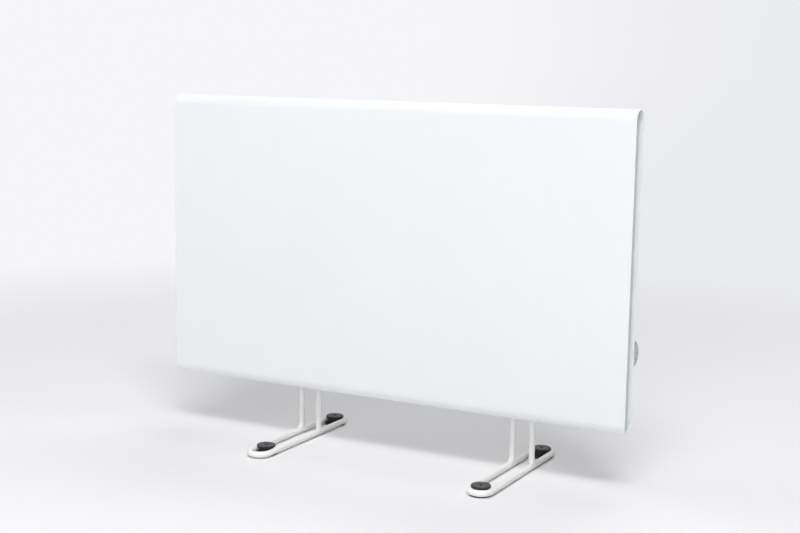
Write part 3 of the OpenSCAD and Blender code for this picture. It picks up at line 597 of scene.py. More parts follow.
def fold_profile(face_x, rim_x, inset, fold):
    """Stations (x, inset) along the flange and round the fold to the face."""
    side = math.copysign(1, face_x - rim_x)
    profile = [(rim_x, inset)]
    profile += [(face_x - side * away, inset + drawn) for away, drawn in quarter_bend(fold)]
    return profile + [(face_x, inset + fold + STRIP)]


def end_plate_mesh(low, high, side):
    face_x, rim_x = (high.x, low.x) if side > 0 else (low.x, high.x)
    outer = fold_profile(face_x, rim_x, 0.0, PLATE_FOLD)
    inner = fold_profile(face_x - side * PLATE_SHEET, rim_x, PLATE_SHEET, PLATE_FOLD - PLATE_SHEET)
    stations = list(reversed(outer)) + inner
    bm = bmesh.new()
    rings = [[Vector((x, p.x, p.y)) for p in stadium(low, high, inset)] for x, inset in stations]
    made = join_rings(bm, rings)
    for ring in (made[0], made[-1]):
        half = len(ring) // 2
        for i in range(half - 1):
            bm.faces.new((ring[i], ring[i + 1], ring[-2 - i], ring[-1 - i]))
    return bm


# %% Build the end plates
for name, side in (("end_plate_left", -1), ("end_plate_right", 1)):
    bm = end_plate_mesh(*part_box(name), side)
    new_piece(name + "_pressed", bm, plate_paint_painted_shade, [name])

# %% [markdown]
# Each foot is one length of round rod. It starts under the elbow, runs back, turns round the rear pad,
# comes forward, turns round the front pad, runs back again and bends up into the left upright. A path of
# points with the bends as arcs, and a round section carried along it, is how a rod is bent in life.

# %% The rod path
ROD_RADIUS = 4.0 * MM
BEND_STEPS = 27
ELBOW = 12 * MM
FOOT_LOOP = 27.5 * MM
PAD_SPAN = 195 * MM
BUTT_LAP = 0.5 * MM


def foot_path(low, high):
    """Centre line of the looped rod, from its butted end to the top of the left upright."""
    half = FOOT_LOOP / 2
    x = (low.x + high.x) / 2
    z = low.z + ROD_RADIUS
    post_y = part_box("left_foot_post")[0].y + ROD_RADIUS
    reach = PAD_SPAN / 2
    path = [Vector((x - half, post_y - BUTT_LAP, z)), Vector((x - half, reach - STRIP, z))]
    path += [Vector((x + p.x, p.y, z)) for p in arc_points((0, reach), half, 180, 0, BEND_STEPS)]
    path += [Vector((x + half, reach - STRIP, z)), Vector((x + half, STRIP - reach, z))]
    path += [Vector((x + p.x, p.y, z)) for p in arc_points((0, -reach), half, 0, -180, BEND_STEPS)]
    path += [Vector((x - half, STRIP - reach, z)), Vector((x - half, post_y - ELBOW - STRIP, z))]
    bend = arc_points((post_y - ELBOW, z + ELBOW), ELBOW, -90, 0, BEND_STEPS // 2)
    path += [Vector((x - half, p.x, p.y)) for p in bend]
    path += [Vector((x - half, post_y, z + ELBOW + STRIP)), Vector((x - half, post_y, high.z))]
    return path


# %% A round bar along a path
ROD_SIDES = 32


def round_rod(bm, path, radius, round_end, sides=ROD_SIDES):
    """A round bar along the path, its two ends closed with a small round edge."""
    steps = [(b - a).normalized() for a, b in zip(path, path[1:])]
    heads = [steps[0], *[(a + b).normalized() for a, b in zip(steps, steps[1:])], steps[-1]]
    across = heads[0].orthogonal().normalized()
    turns = full_turn(sides)
    rings = []
    for point, head in zip(path, heads):
        across = (across - head * across.dot(head)).normalized()
        beside = head.cross(across)
        rings.append([point + radius * (math.cos(a) * across + math.sin(a) * beside) for a in turns])
    rounded = []
    for centre, ring, head in ((path[0], rings[0], -heads[0]), (path[-1], rings[-1], heads[-1])):
        rounded.append([
            [p + (centre - p).normalized() * inward - head * short for p in ring]
            for short, inward in quarter_bend(round_end, 3)
        ])
    made = join_rings(bm, rounded[0][::-1] + rings[1:-1] + rounded[1])
    cap_ends(bm, made[0], made[-1])


# %% [markdown]
# The upright is cut flat and welded onto the top of the bar, and the rod's end is welded under the elbow.
# The welds are small: a thin raised seam follows the line where the two round bars meet. Its ripples come
# from a few fixed waves, so it looks the same at every run.

# %% The lines of the welds
WELD_SINK = 0.5 * MM


def upright_seam(centre, steps=16):
    """The line where a flat-ended upright meets the bar below it; centre is the middle of the bar."""
    rise = ROD_RADIUS - WELD_SINK
    reach = math.sqrt(ROD_RADIUS**2 - rise**2)
    line = []
    for side in (-1, 1):
        for i in range(steps + 1):
            x = side * reach * (2 * i / steps - 1)
            depth = math.sqrt(ROD_RADIUS**2 - x**2)
            line.append(centre + Vector((x, -side * depth, depth)))
    return line


def elbow_seam(corner, steps=20):
    """The line over the bar's end at the elbow; corner is below the upright, on the bar's axis."""
    floor_share = ((ELBOW - BUTT_LAP) ** 2) / (4 * ELBOW * ROD_RADIUS)
    widest = math.acos(floor_share)
    line = []
    for i in range(steps + 1):
        angle = widest * (2 * i / steps - 1)
        run = math.sqrt(4 * ELBOW * ROD_RADIUS * math.cos(angle))
        across, up = ROD_RADIUS * math.sin(angle), ROD_RADIUS * math.cos(angle)
        line.append(corner + Vector((across, run - ELBOW, up)))
    return line


# %% The weld seam
LONG_RIPPLE, SHORT_RIPPLE = (0.10, 0.9), (0.06, 2.3)


def ripple(i, size, pace):
    return size * math.sin(pace * i)


def weld_seam(bm, points, radius, closed, sides=10):
    """A thin rippled tube along a line of points; an open one thins out towards its ends."""
    count = len(points)
    rings = []
    for i, point in enumerate(points):
        before = points[i - 1] if closed or i else point
        after = points[(i + 1) % count] if closed or i < count - 1 else point
        head = (after - before).normalized()
        side = head.cross(Vector((0, 0, 1))).normalized()
        up = side.cross(head)
        swell = radius * (1 + ripple(i, *LONG_RIPPLE) + ripple(i, *SHORT_RIPPLE))
        if not closed:
            swell *= math.sqrt(math.sin(math.pi * (i + 0.5) / count))
        rings.append([point + swell * (math.cos(a) * side + math.sin(a) * up) for a in full_turn(sides)])
    if closed:
        join_rings(bm, [*rings, rings[0]])
        return
    made = join_rings(bm, rings)
    cap_ends(bm, made[-1], made[0])


# %% [markdown]
# Each foot is made of two pieces: the bent rod with the seam at its elbow, and the straight upright on the
# right bar with the seam round its lower end. Both feet come from the same functions, placed by their own
# boxes in the frame.

# %% Build the feet
ROD_END_ROUND, POST_END_ROUND = 0.5 * MM, 0.4 * MM
ELBOW_SEAM, UPRIGHT_SEAM = 0.55 * MM, 0.44 * MM

for side in ("left", "right"):
    loop_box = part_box(f"{side}_foot_loop")
    post_low, post_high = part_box(f"{side}_foot_post")
    post_at = (post_low + post_high) / 2
    rod_z = loop_box[0].z + ROD_RADIUS
    left_bar = Vector((post_at.x - FOOT_LOOP, post_at.y, rod_z))
    right_bar = Vector((post_at.x, post_at.y, rod_z))
    bm = bmesh.new()
    round_rod(bm, foot_path(*loop_box), ROD_RADIUS, ROD_END_ROUND)
    weld_seam(bm, elbow_seam(left_bar), ELBOW_SEAM, False)
    new_piece(f"{side}_foot_rod", bm, rod_paint, [f"{side}_foot_loop"])
    bm = bmesh.new()
    flat_end = right_bar + Vector((0, 0, ROD_RADIUS - WELD_SINK))
    round_rod(bm, [flat_end, Vector((post_at.x, post_at.y, post_high.z))], ROD_RADIUS, POST_END_ROUND)
    weld_seam(bm, upright_seam(right_bar), UPRIGHT_SEAM, True)
    new_piece(f"{side}_foot_upright", bm, rod_paint, [f"{side}_foot_post"])

# %% [markdown]
# A pad is a rubber spool. Its base lies under the rod, the rod sits in its groove, and a thick disc stands
# above it with a hole in the middle. It was turned as one outline round its axis, so it is modelled the
# same way. Rubber comes out of its mould with soft edges: those of the disc are rounder than those of the
# base.

# %% The pad's outline
PAD_STEPS, SHOULDER_STEPS, MOUTH_STEPS = 6, 8, 5
GROOVE_SLIP = 0.05 * MM
BASE_FLAT_INSET = 1.6 * MM
PAD_SOFT, PAD_SHOULDER, PAD_ROOT = 0.7 * MM, 1.2 * MM, 0.8 * MM
PAD_DISH = ((6.0 * MM, 0.05 * MM), (4.4 * MM, 0.1 * MM))
HOLE_MOUTH, HOLE_LIP, HOLE_LIP_SUNK = 3.4 * MM, 1.0 * MM, 1.1 * MM
HOLE_BORE = ((2.1 * MM, 2.2 * MM), (2.0 * MM, 5.0 * MM), (0.0, 5.0 * MM))


def pad_outline(height, base_radius, top_radius, rod_z):
    """The pad's outline as (radius, height), from the middle of its underside to the bottom of its hole."""
    neck = FOOT_LOOP / 2 - ROD_RADIUS - GROOVE_SLIP
    low_z, high_z = rod_z - ROD_RADIUS - GROOVE_SLIP, rod_z + ROD_RADIUS + GROOVE_SLIP
    soft, shoulder, root = PAD_SOFT, PAD_SHOULDER, PAD_ROOT
    outline = [(0.0, 0.0), (base_radius - BASE_FLAT_INSET, 0.0)]
    outline += arc_points((base_radius - soft, soft), soft, -90, 0, PAD_STEPS)
    outline += arc_points((base_radius - soft, low_z - soft), soft, 0, 90, PAD_STEPS)
    outline += arc_points((neck + root, low_z + root), root, -90, -180, PAD_STEPS)
    outline += arc_points((neck + root, high_z - root), root, 180, 90, PAD_STEPS)
    outline += arc_points((top_radius - soft, high_z + soft), soft, -90, 0, PAD_STEPS)
    outline += arc_points((top_radius - shoulder, height - shoulder), shoulder, 0, 84, SHOULDER_STEPS)
    outline += [(radius, height - sunk) for radius, sunk in PAD_DISH]
    outline += arc_points((HOLE_MOUTH, height - HOLE_LIP_SUNK), HOLE_LIP, 80, 170, MOUTH_STEPS)
    outline += [(radius, height - sunk) for radius, sunk in HOLE_BORE]
    return outline


# %% Turn the pads
PAD_SIDES = 96
PAD_TOP_RADIUS = 12.5 * MM


def turned(bm, outline, middle, sides):
    """A solid of revolution round an upright axis through a point."""
    def point(r, a, h):
        return Vector((middle.x + r * math.cos(a), middle.y + r * math.sin(a), h))

    made = join_rings(bm, [[point(r, a, h) for a in full_turn(sides)] for r, h in outline[1:-1]])
    fan(bm, made[0], point(0.0, 0.0, outline[0][1]))
    fan(bm, made[-1], point(0.0, 0.0, outline[-1][1]))


for foot in ("left", "right"):
    for end in ("front", "rear"):
        node = f"{foot}_{end}_pad"
        low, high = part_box(node)
        rod_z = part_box(f"{foot}_foot_loop")[0].z + ROD_RADIUS
        outline = pad_outline(high.z, (high.x - low.x) / 2, PAD_TOP_RADIUS, rod_z)
        bm = bmesh.new()
        turned(bm, outline, (low + high) / 2, PAD_SIDES)
        new_piece(f"{foot}_{end}_spool", bm, pad_rubber, [node], corner=40)

# %% [markdown]
# The housing is a shallow pressed pan. Seen from behind it is a rectangle with round corners, and its walls
# turn into the back with a small bend. It is built from rings of that outline, drawn in round the bend. The
# flat walls carry the air slots. Each is filled round its holes, outside and inside, and every hole gets a
# wall with a broken edge, which is what a punched and painted slot shows.

# %% Flat walls with holes
WALL = 1.0 * MM
BREAK = 0.2 * MM


def slot_outline(centre, width, length, grow, steps=8):
    """A slot with round ends about a point, its length along the second axis."""
    radius = width / 2 + grow
    reach = (length - width) / 2
    points = []
    for start, shift in ((-90, reach), (90, -reach)):
        for i in range(steps + 1):
            angle = math.radians(start + 180 * i / steps)
            along = shift + radius * math.cos(angle)
            points.append(Vector((centre[0] - radius * math.sin(angle), centre[1] + along)))
    return points


def wall_with_holes(bm, border, holes, to_frame):
    """Both faces of a flat wall and the walls of its holes; to_frame gives a point at a depth in it."""
    for depth in (0.0, WALL):
        loops = [list(border)] + [hole(BREAK) for hole in holes]
        verts = [bm.verts.new(to_frame(p, depth)) for loop in loops for p in loop]
        for face in tessellate_polygon([[(p.x, p.y, 0.0) for p in loop] for loop in loops]):
            bm.faces.new([verts[i] for i in face])
    for hole in holes:
        levels = ((0.0, BREAK), (BREAK, 0.0), (WALL - BREAK, 0.0), (WALL, BREAK))
        join_rings(bm, [[to_frame(p, depth) for p in hole(grow)] for depth, grow in levels])


# %% [markdown]
# The pan's sizes come from its own box in the frame. The slot rows repeat the construction's pitch: one row
# in the floor that skips the feet, one in the top, and one of upright slots high in the back. Slots are
# given by their width and length, round holes by their radius.

# %% The rear housing's sizes
HOUSING_CORNER = 6.0 * MM
CORNER_STEPS = 10
BACK_BEND = 2.5 * MM
FLANGE, FLANGE_FILLET, FLANGE_SINK = 12.0 * MM, 2.0 * MM, 0.2 * MM
SLOT, SLOT_PITCH = 5.0 * MM, 16.0 * MM
SLOT_INSET, SLOT_END, SLOT_EDGE = 22.0 * MM, 14.0 * MM, 6.0 * MM
BACK_SLOT, BACK_SLOT_DROP = 34.0 * MM, 14.0 * MM
ROD_HOLE, GLAND_HOLE, SHAFT_HOLE = ROD_RADIUS + 0.15 * MM, 7.15 * MM, 5.15 * MM
ROUNDING = 0.001 * MM

house_low, house_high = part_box("rear_housing")
pan_low = Vector((house_low.x, house_low.y, house_low.z + FLANGE))
pan_high = Vector((house_high.x, house_high.y, house_high.z - FLANGE))
pan_mid = (pan_low + pan_high) / 2
duct_y = (pan_low.y + pan_high.y - WALL) / 2
partition_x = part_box("control_partition")[0].x
slot_xs = []
x = pan_low.x + SLOT_INSET
while x <= partition_x - SLOT_END + ROUNDING:
    slot_xs.append(x)
    x += SLOT_PITCH
feet_xs = [(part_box(f"{s}_foot_loop")[0].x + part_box(f"{s}_foot_loop")[1].x) / 2 for s in ("left", "right")]
socket_half = (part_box("left_foot_socket")[1].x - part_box("left_foot_socket")[0].x) / 2
floor_xs = [x for x in slot_xs if min(abs(x - f) for f in feet_xs) > socket_half + SLOT]
flat_slot = pan_high.y - WALL - pan_low.y - 2 * SLOT_EDGE
back_slot_z = pan_high.z - BACK_SLOT_DROP - BACK_SLOT / 2
gland_low, gland_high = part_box("cable_gland")
gland_x = (gland_low.x + gland_high.x) / 2
knob_low, knob_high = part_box("thermostat_knob")
knob_mid = (knob_low + knob_high) / 2
print("slots:", len(slot_xs), "top,", len(floor_xs), "floor,", len(slot_xs), "back")


# %% [markdown]
# Where the pan bends, rings of its outline follow one another round the bend, and bands of faces join them.
# The long flat walls are left open here, because their slots are cut in the next step.

# %% The pan's bent surfaces
def pan_outline(inset):
    """The rounded rectangle seen from behind, corner by corner."""
    half_w = (pan_high.x - pan_low.x) / 2 - HOUSING_CORNER
    half_h = (pan_high.z - pan_low.z) / 2 - HOUSING_CORNER
    corners = ((half_w, half_h, 0), (-half_w, half_h, 90), (-half_w, -half_h, 180), (half_w, -half_h, 270))
    points = []
    for x, z, start in corners:
        centre = (pan_mid.x + x, pan_mid.z + z)
        points += arc_points(centre, HOUSING_CORNER - inset, start, start + 90, CORNER_STEPS)
    return points


def pan_stations(depth):
    """Stations (y, inset) from the open front round the bend; depth is 0 outside, WALL inside."""
    back_y = pan_high.y - depth
    stations = [(pan_low.y, depth), (pan_low.y + STRIP, depth)]
    return stations + [(back_y - away, depth + drawn) for away, drawn in quarter_bend(BACK_BEND - depth)]


def pan_rings(bm, depth, open_walls):
    """The pan's bent surfaces; the flat walls in open_walls are left out between stations 1 and 2."""
    rings = [[Vector((p.x, y, p.y)) for p in pan_outline(inset)] for y, inset in pan_stations(depth)]
    made = [[bm.verts.new(p) for p in ring] for ring in rings]
    per_corner = CORNER_STEPS + 1
    count = len(made[0])
    for k, (near, far) in enumerate(zip(made, made[1:])):
        for i in range(count):
            j = (i + 1) % count
            wall = i // per_corner if i % per_corner == CORNER_STEPS else None
            if k == 1 and wall in open_walls:
                continue
            bm.faces.new((near[i], near[j], far[j], far[i]))
    return rings


# %% [markdown]
# A hole in a wall is given as a function of its growth, since its edge is broken: at the surface the hole
# is a little wider than inside. The same function serves for both faces and for the wall between them.

# %% The pan's flat walls
# The walls are counted with the corners of pan_outline; number 1, on the left, is plain.
TOP, BOTTOM, RIGHT = 0, 2, 3


def slot_at(u, v, length):
    return lambda grow: slot_outline((u, v), SLOT, length, grow)


def round_hole(u, v, radius, steps=32):
    def outline(grow):
        reach = radius + grow
        return [Vector((u + reach * math.cos(a), v + reach * math.sin(a))) for a in full_turn(steps)]

    return outline


def side_wall(bm, side, holes):
    """One flat side wall with its holes, between the pan's second and third stations."""
    level = {TOP: pan_high.z, BOTTOM: pan_low.z, RIGHT: pan_high.x}[side]
    upright = side == RIGHT
    (y0, _), (y1, _) = pan_stations(0.0)[1:3]
    a, b = (pan_low.z, pan_high.z) if upright else (pan_low.x, pan_high.x)
    a, b = a + HOUSING_CORNER, b - HOUSING_CORNER
    inward = 1 if side == BOTTOM else -1

    def at(p, depth):
        sunk = level + inward * depth
        return Vector((sunk, p.y, p.x)) if upright else Vector((p.x, p.y, sunk))

    wall_with_holes(bm, [Vector((a, y0)), Vector((b, y0)), Vector((b, y1)), Vector((a, y1))], holes, at)


def back_at(p, depth):
    return Vector((p.x, pan_high.y - depth, p.y))


# %% [markdown]
# Now the pan comes together: its outer and inner skin, a rim that joins them in front, three side walls and
# the back with their holes, and the two flanges that screw it to the panel.

# %% Build the housing
bm = bmesh.new()
outer = pan_rings(bm, 0.0, (TOP, BOTTOM, RIGHT))
inner = pan_rings(bm, WALL, (TOP, BOTTOM, RIGHT))
join_rings(bm, [outer[0], inner[0]])
rod_holes = [round_hole(f + s * FOOT_LOOP / 2, duct_y, ROD_HOLE) for f in feet_xs for s in (-1, 1)]
gland_hole = round_hole(gland_x, duct_y, GLAND_HOLE)
side_wall(bm, TOP, [slot_at(x, duct_y, flat_slot) for x in slot_xs])
side_wall(bm, BOTTOM, [slot_at(x, duct_y, flat_slot) for x in floor_xs] + rod_holes + [gland_hole])
side_wall(bm, RIGHT, [round_hole(knob_mid.z, duct_y, SHAFT_HOLE)])
back_border = pan_outline(pan_stations(0.0)[-1][1])
wall_with_holes(bm, back_border, [slot_at(x, back_slot_z, BACK_SLOT) for x in slot_xs], back_at)
front_y, rear_y = house_low.y, house_low.y + WALL
for level, tip in ((pan_high.z, house_high.z), (pan_low.z, house_low.z)):
    up = math.copysign(1, tip - level)
    section = [(front_y, level - up * FLANGE_SINK), (front_y, tip - up * BREAK)]
    section += [(front_y + BREAK, tip), (rear_y - BREAK, tip), (rear_y, tip - up * BREAK)]
    section += [(rear_y + drawn, level + up * away) for away, drawn in quarter_bend(FLANGE_FILLET)]
    section.append((rear_y + FLANGE_FILLET, level - up * FLANGE_SINK))
    ends = (pan_low.x + HOUSING_CORNER, pan_high.x - HOUSING_CORNER)
    made = join_rings(bm, [[Vector((x, y, z)) for y, z in section] for x in ends])
    cap_ends(bm, made[1], made[0])
new_piece("housing_pan", bm, frame_paint, ["rear_housing"])

# %% [markdown]
# The knob is a pale grey moulding on the thermostat's shaft: a smooth skirt, a fluted grip and a slightly
# dished face. Its grey is partly painted shade: the plastic is darkened to the tone it takes in the shade at
# the heater's right end. One outline is turned round the axis, and the flutes are drawn in as shallow round
# valleys on the grip. The rows below give points of the outline in millimetres: how far inside the skirt's
# or the grip's radius, and how high above the skirt's foot or how deep below the face.

# %% The knob's outline
SKIRT_ROWS = ((3.0, 0.0), (0.4, 0.0), (0.0, 0.4), (0.0, 1.75), (0.2, 2.0))
FACE_ROWS = ((2.6, 0.02), (3.4, 0.25))
GRIP_INSET, GRIP_TAPER = 0.35 * MM, 0.25 * MM
GRIP_FOOT, FLUTE_FOOT, FLUTE_TOP = 2.1 * MM, 2.7 * MM, 2.2 * MM
GRIP_ROUND, GRIP_SHOULDER = 1.4 * MM, 1.65 * MM
FLUTE_RUN_OUT = 1.1 * MM
FACE_DISH, FACE_CENTRE = 0.3 * MM, 1.0 * MM


def knob_outline(radius, height):
    """The knob's outline as (radius, height, share of the flutes), from its skirt to its face."""
    grip = radius - GRIP_INSET
    round_z = height - GRIP_ROUND
    outline = [(radius - inset * MM, up * MM, 0.0) for inset, up in SKIRT_ROWS]
    outline += [(grip, GRIP_FOOT, 0.0), (grip, FLUTE_FOOT, 1.0)]
    outline.append((grip - GRIP_TAPER, height - FLUTE_TOP, 1.0))
    for p in arc_points((grip - GRIP_SHOULDER, round_z), GRIP_ROUND, 10, 82, 8):
        outline.append((p.x, p.y, max(0.0, 1 - (p.y - round_z) / FLUTE_RUN_OUT)))
    outline += [(grip - inset * MM, height - down * MM, 0.0) for inset, down in FACE_ROWS]
    outline += [(r, height - FACE_DISH, 0.0) for r in (grip / 2, FACE_CENTRE)]
    return outline


# %% The flutes
FLUTES = 36
FLUTE_DEPTH = 0.55 * MM
FLUTE_HALF_WIDTH = 0.3
KNOB_SIDES = FLUTES * 10


def fluted(radius, share, i):
    """A radius with shallow valleys round the axis, share times their full depth."""
    phase = FLUTES * i / KNOB_SIDES
    valley = max(0.0, 1 - ((phase - round(phase)) / FLUTE_HALF_WIDTH) ** 2)
    return radius - share * FLUTE_DEPTH * math.sqrt(valley)


def knob_point(height, radius=0.0, angle=0.0):
    """A point of the knob, its height counted from the side of the housing."""
    up = knob_low.x - knob_mid.x + height
    return knob_mid + Vector((up, radius * math.sin(angle), radius * math.cos(angle)))


# %% Build the knob
HUB_DEPTH = 4.0 * MM
KNOB_HUB = [(3.3 * MM, HUB_DEPTH), (6.0 * MM, HUB_DEPTH)]
KNOB_HOLLOW = [(6.3 * MM, 9.4 * MM), (14.4 * MM, 9.0 * MM), (14.4 * MM, 0.5 * MM)]

turns = full_turn(KNOB_SIDES)
knob_height = knob_high.x - knob_low.x
rings = [[knob_point(h, r, a) for a in turns] for r, h in KNOB_HUB + KNOB_HOLLOW]
for radius, height, share in knob_outline((knob_high.y - knob_low.y) / 2, knob_height):
    rings.append([knob_point(height, fluted(radius, share, i), a) for i, a in enumerate(turns)])
bm = bmesh.new()
made = join_rings(bm, rings)
fan(bm, made[-1], knob_point(knob_height - FACE_DISH))
fan(bm, made[0], knob_point(HUB_DEPTH))
new_piece("fluted_knob", bm, knob_plastic, ["thermostat_knob"], body="knob", corner=38)

# %% [markdown]
# The knob carries its scale: a bar for off and the plain numbers one to six, in the order in which they
# come up to the mark on the housing as the knob turns clockwise. They are thin printed shapes that lie on
# the face.

# %% The numerals
SCALE_STEP = 45
SCALE_RADIUS = 10.4 * MM
NUMERAL_HEIGHT = 4.6 * MM
PRINT = 0.05 * MM
FACING_RIGHT = Matrix.Rotation(math.radians(90), 4, "Z") @ Matrix.Rotation(math.radians(90), 4, "X")


def onto_face(radius, degrees):
    """Frame for a mark that stands upright when its place is at the knob's top; anticlockwise."""
    around = Matrix.Rotation(math.radians(degrees), 4, "X")
    centre = Matrix.Translation(Vector((knob_high.x - FACE_DISH, knob_mid.y, knob_mid.z)))
    return centre @ around @ Matrix.Translation((0, 0, radius)) @ FACING_RIGHT


for number in range(1, 7):
    text = bpy.data.curves.new(f"numeral_{number}", "FONT")
    text.body = str(number)
    text.size = NUMERAL_HEIGHT
    text.extrude = PRINT
    text.align_x = "CENTER"
    text.align_y = "CENTER"
    text.materials.append(mark_ink)
    numeral = bpy.data.objects.new(f"numeral_{number}", text)
    bpy.context.collection.objects.link(numeral)
    numeral.matrix_world = onto_face(SCALE_RADIUS, number * SCALE_STEP)
    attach(numeral, "knob")
print("numerals: one to six, every", SCALE_STEP, "degrees")


# %% The bar for off and the mark on the housing
BAR_WIDTH, OFF_BAR, INDEX_BAR = 1.2 * MM, 5.4 * MM, 5.0 * MM
INDEX_GAP = 4.5 * MM


def printed_bar(name, width, height, frame_at, body):
    """A thin printed bar with round ends, lying on a surface."""
    bm = bmesh.new()
    outline = slot_outline((0, 0), width, height, 0.0)
    made = join_rings(bm, [[frame_at @ Vector((p.x, p.y, z)) for p in outline] for z in (-PRINT, PRINT)])
    cap_ends(bm, made[0], made[1])
    return new_piece(name, bm, mark_ink, body=body)


mark_z = knob_mid.z + (knob_high.z - knob_low.z) / 2 + INDEX_GAP
mark_at = Matrix.Translation((pan_high.x, duct_y, mark_z)) @ FACING_RIGHT
printed_bar("off_bar", BAR_WIDTH, OFF_BAR, onto_face(SCALE_RADIUS, 0), "knob")
printed_bar("index_mark", BAR_WIDTH, INDEX_BAR, mark_at, "heater")

# %% [markdown]
# The screws are zinc-plated pan heads with a cross recess. One head is built with care, its recess cut by a
# tapered cross, and the same mesh is then copied to every place where the construction has a screw. Its
# form is written in shares of its radius and height, because there are two sizes of it.

# %% The cross recess
RECESS_REACH, RECESS_WIDTH = 0.55, 0.15
RECESS_LEVELS = ((0.35, 0.7), (1.4, 1.15))


def recess_cross(head_radius, head_height):
    """Two crossed bars, narrower at the recess's floor than above the head."""
    arms = bmesh.new()
    for along in (0, 1):
        rings = []
        for level, grow in RECESS_LEVELS:
            u, v = RECESS_REACH * head_radius * grow, RECESS_WIDTH * head_radius * grow
            z = level * head_height
            corners = [(-u, -v), (u, -v), (u, v), (-u, v)]
            rings.append([Vector((a, b, z)) if along == 0 else Vector((-b, a, z)) for a, b in corners])
        made = join_rings(arms, rings)
        cap_ends(arms, made[0], made[1])
    return arms


# %% One pan head screw
SHANK_SHOWN = 1.0 * MM
RIM_SHARE = 0.3
DOME_STEPS = 9
HEAD_SHARES = ((0.5, 0.0), (0.97, 0.0), (1.0, 0.08), (1.0, RIM_SHARE))


def pan_head(head_radius, head_height, sides=40):
    """A domed head on z = 0 with a cross recess, as a mesh, its shank short and hidden."""
    outline = [(0.0, -SHANK_SHOWN), (HEAD_SHARES[0][0] * head_radius, -SHANK_SHOWN)]
    outline += [(wide * head_radius, rise * head_height) for wide, rise in HEAD_SHARES]
    for i in range(1, DOME_STEPS):
        angle = math.radians(90 * i / DOME_STEPS)
        rise = RIM_SHARE + (1 - RIM_SHARE) * math.sin(angle)
        outline.append((head_radius * math.cos(angle), head_height * rise))
    outline.append((0.0, head_height))
    bm = bmesh.new()
    turned(bm, outline, Vector((0, 0, 0)), sides)
    head = as_object("pan_head", bm)
    cutter = as_object("cross_cutter", recess_cross(head_radius, head_height))
    cut = head.modifiers.new("recess", "BOOLEAN")
    cut.operation = "DIFFERENCE"
    cut.solver = "EXACT"
    cut.use_self = True
    cut.object = cutter
    result = bpy.data.meshes.new_from_object(head.evaluated_get(bpy.context.evaluated_depsgraph_get()))
    for item in (head, cutter):
        bpy.data.objects.remove(item)
    return result


# %% [markdown]
# The places of the screws need no list. Each screw is a separate solid inside its node, so walking from
# point to linked point finds one after the other, and its box says where the head sits. Every head is
# turned a little further than the last, as hand-driven screws are.

# %% Find the screws
def separate_solids(node):
    """The boxes of a node's separate solids, in a fixed order."""
    source = bmesh.new()
    source.from_mesh(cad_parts[node].data)
    bmesh.ops.remove_doubles(source, verts=source.verts, dist=ROUNDING)
    unseen = set(source.verts)
    boxes = []
    while unseen:
        island, front = [], [unseen.pop()]
        while front:
            vert = front.pop()
            island.append(vert.co.copy())
            for linked in vert.link_edges:
                other = linked.other_vert(vert)
                if other in unseen:
                    unseen.remove(other)
                    front.append(other)
        boxes.append([Vector([pick(p[k] for p in island) for k in range(3)]) for pick in (min, max)])
    source.free()
    return sorted(boxes, key=lambda box: tuple(round(v, 4) for v in box[0]))


# %% Place the heads
HEAD_HEIGHT_SHARE = 0.34
SPIN_STEP = 20.0
FACING = {"X": Matrix.Rotation(math.radians(90), 4, "Y"), "Y": Matrix.Rotation(math.radians(-90), 4, "X")}


def place_heads(name, node, head_radius, facing, count):
    """Copies of the head at each screw of a node."""
    boxes = separate_solids(node)
    assert len(boxes) == count, (node, len(boxes))
    axis = "XY".index(facing)
    head_height = HEAD_HEIGHT_SHARE * 2 * head_radius
    master = pan_head(head_radius, head_height)
    bm = bmesh.new()
    for k, (low, high) in enumerate(boxes):
        seat = (low + high) / 2
        seat[axis] = high[axis] - head_height
        spin = Matrix.Rotation(math.radians(SPIN_STEP * (k + 1) * (k + 2)), 4, "Z")
        copy = master.copy()
        copy.transform(Matrix.Translation(seat) @ FACING[facing] @ spin)
        bm.from_mesh(copy)
        bpy.data.meshes.remove(copy)
    bpy.data.meshes.remove(master)
    return new_piece(name, bm, zinc, [node], corner=30)


# %% All the screws
SCREW_HEAD, CLAMP_HEAD = 3.5 * MM, 5.0 * MM

place_heads("corner_heads", "corner_screws", SCREW_HEAD, "Y", 4)
place_heads("plate_heads", "plate_screws", SCREW_HEAD, "Y", 2)
place_heads("flange_heads", "housing_screws", SCREW_HEAD, "Y", 8)
place_heads("bracket_heads", "bracket_screws", SCREW_HEAD, "Y", 5)
place_heads("block_head", "terminal_block_screw", SCREW_HEAD, "Y", 1)
place_heads("clamp_heads", "foot_clamp_screws", CLAMP_HEAD, "Y", 2)
place_heads("cutout_heads", "cutout_screws", SCREW_HEAD, "X", 2)

# %% [markdown]
# The heater stands on a wide pale floor that runs into a pale background without a line. Near the heater
# the floor is a real matt surface, which takes its shadow. Further out it fades to the background's
# colour, which turns darker and cooler towards the right as painted shade.

# %% The backdrop's colour
# The darker, cooler right-hand tone is painted shade on the background, not a colour of its own.
BACKDROP_LEFT = (0.920, 0.914, 0.938)
BACKDROP_RIGHT_PAINTED_SHADE = (0.826, 0.832, 0.865)
BACKDROP_TURN = (-0.46, -0.20)
SOFT = {"interpolation_type": "SMOOTHSTEP"}


def backdrop_colour(tree, direction):
    """The background's colour in a direction, darker and cooler towards the right as painted shade."""
    unit = place(tree, "ShaderNodeVectorMath", {0: direction}, operation="NORMALIZE").outputs["Vector"]
    sideways = place(tree, "ShaderNodeSeparateXYZ", {"Vector": unit}).outputs["X"]
    share = stretch_value(tree, sideways, *BACKDROP_TURN, **SOFT)
    return mix_colours(tree, share, rgba(BACKDROP_LEFT), rgba(BACKDROP_RIGHT_PAINTED_SHADE))


# %% The floor
FLOOR_RADII = (0.6, 1.2, 2.4, 5.0, 12.0, 40.0)
FLOOR_LEVEL = -0.2 * MM
FLOOR_NEAR, FLOOR_FAR = 0.80, 1.95
PAPER_DARK, PAPER_LIGHT = (0.845, 0.842, 0.860), (0.865, 0.862, 0.880)
FIBRES_PER_METRE = 900.0

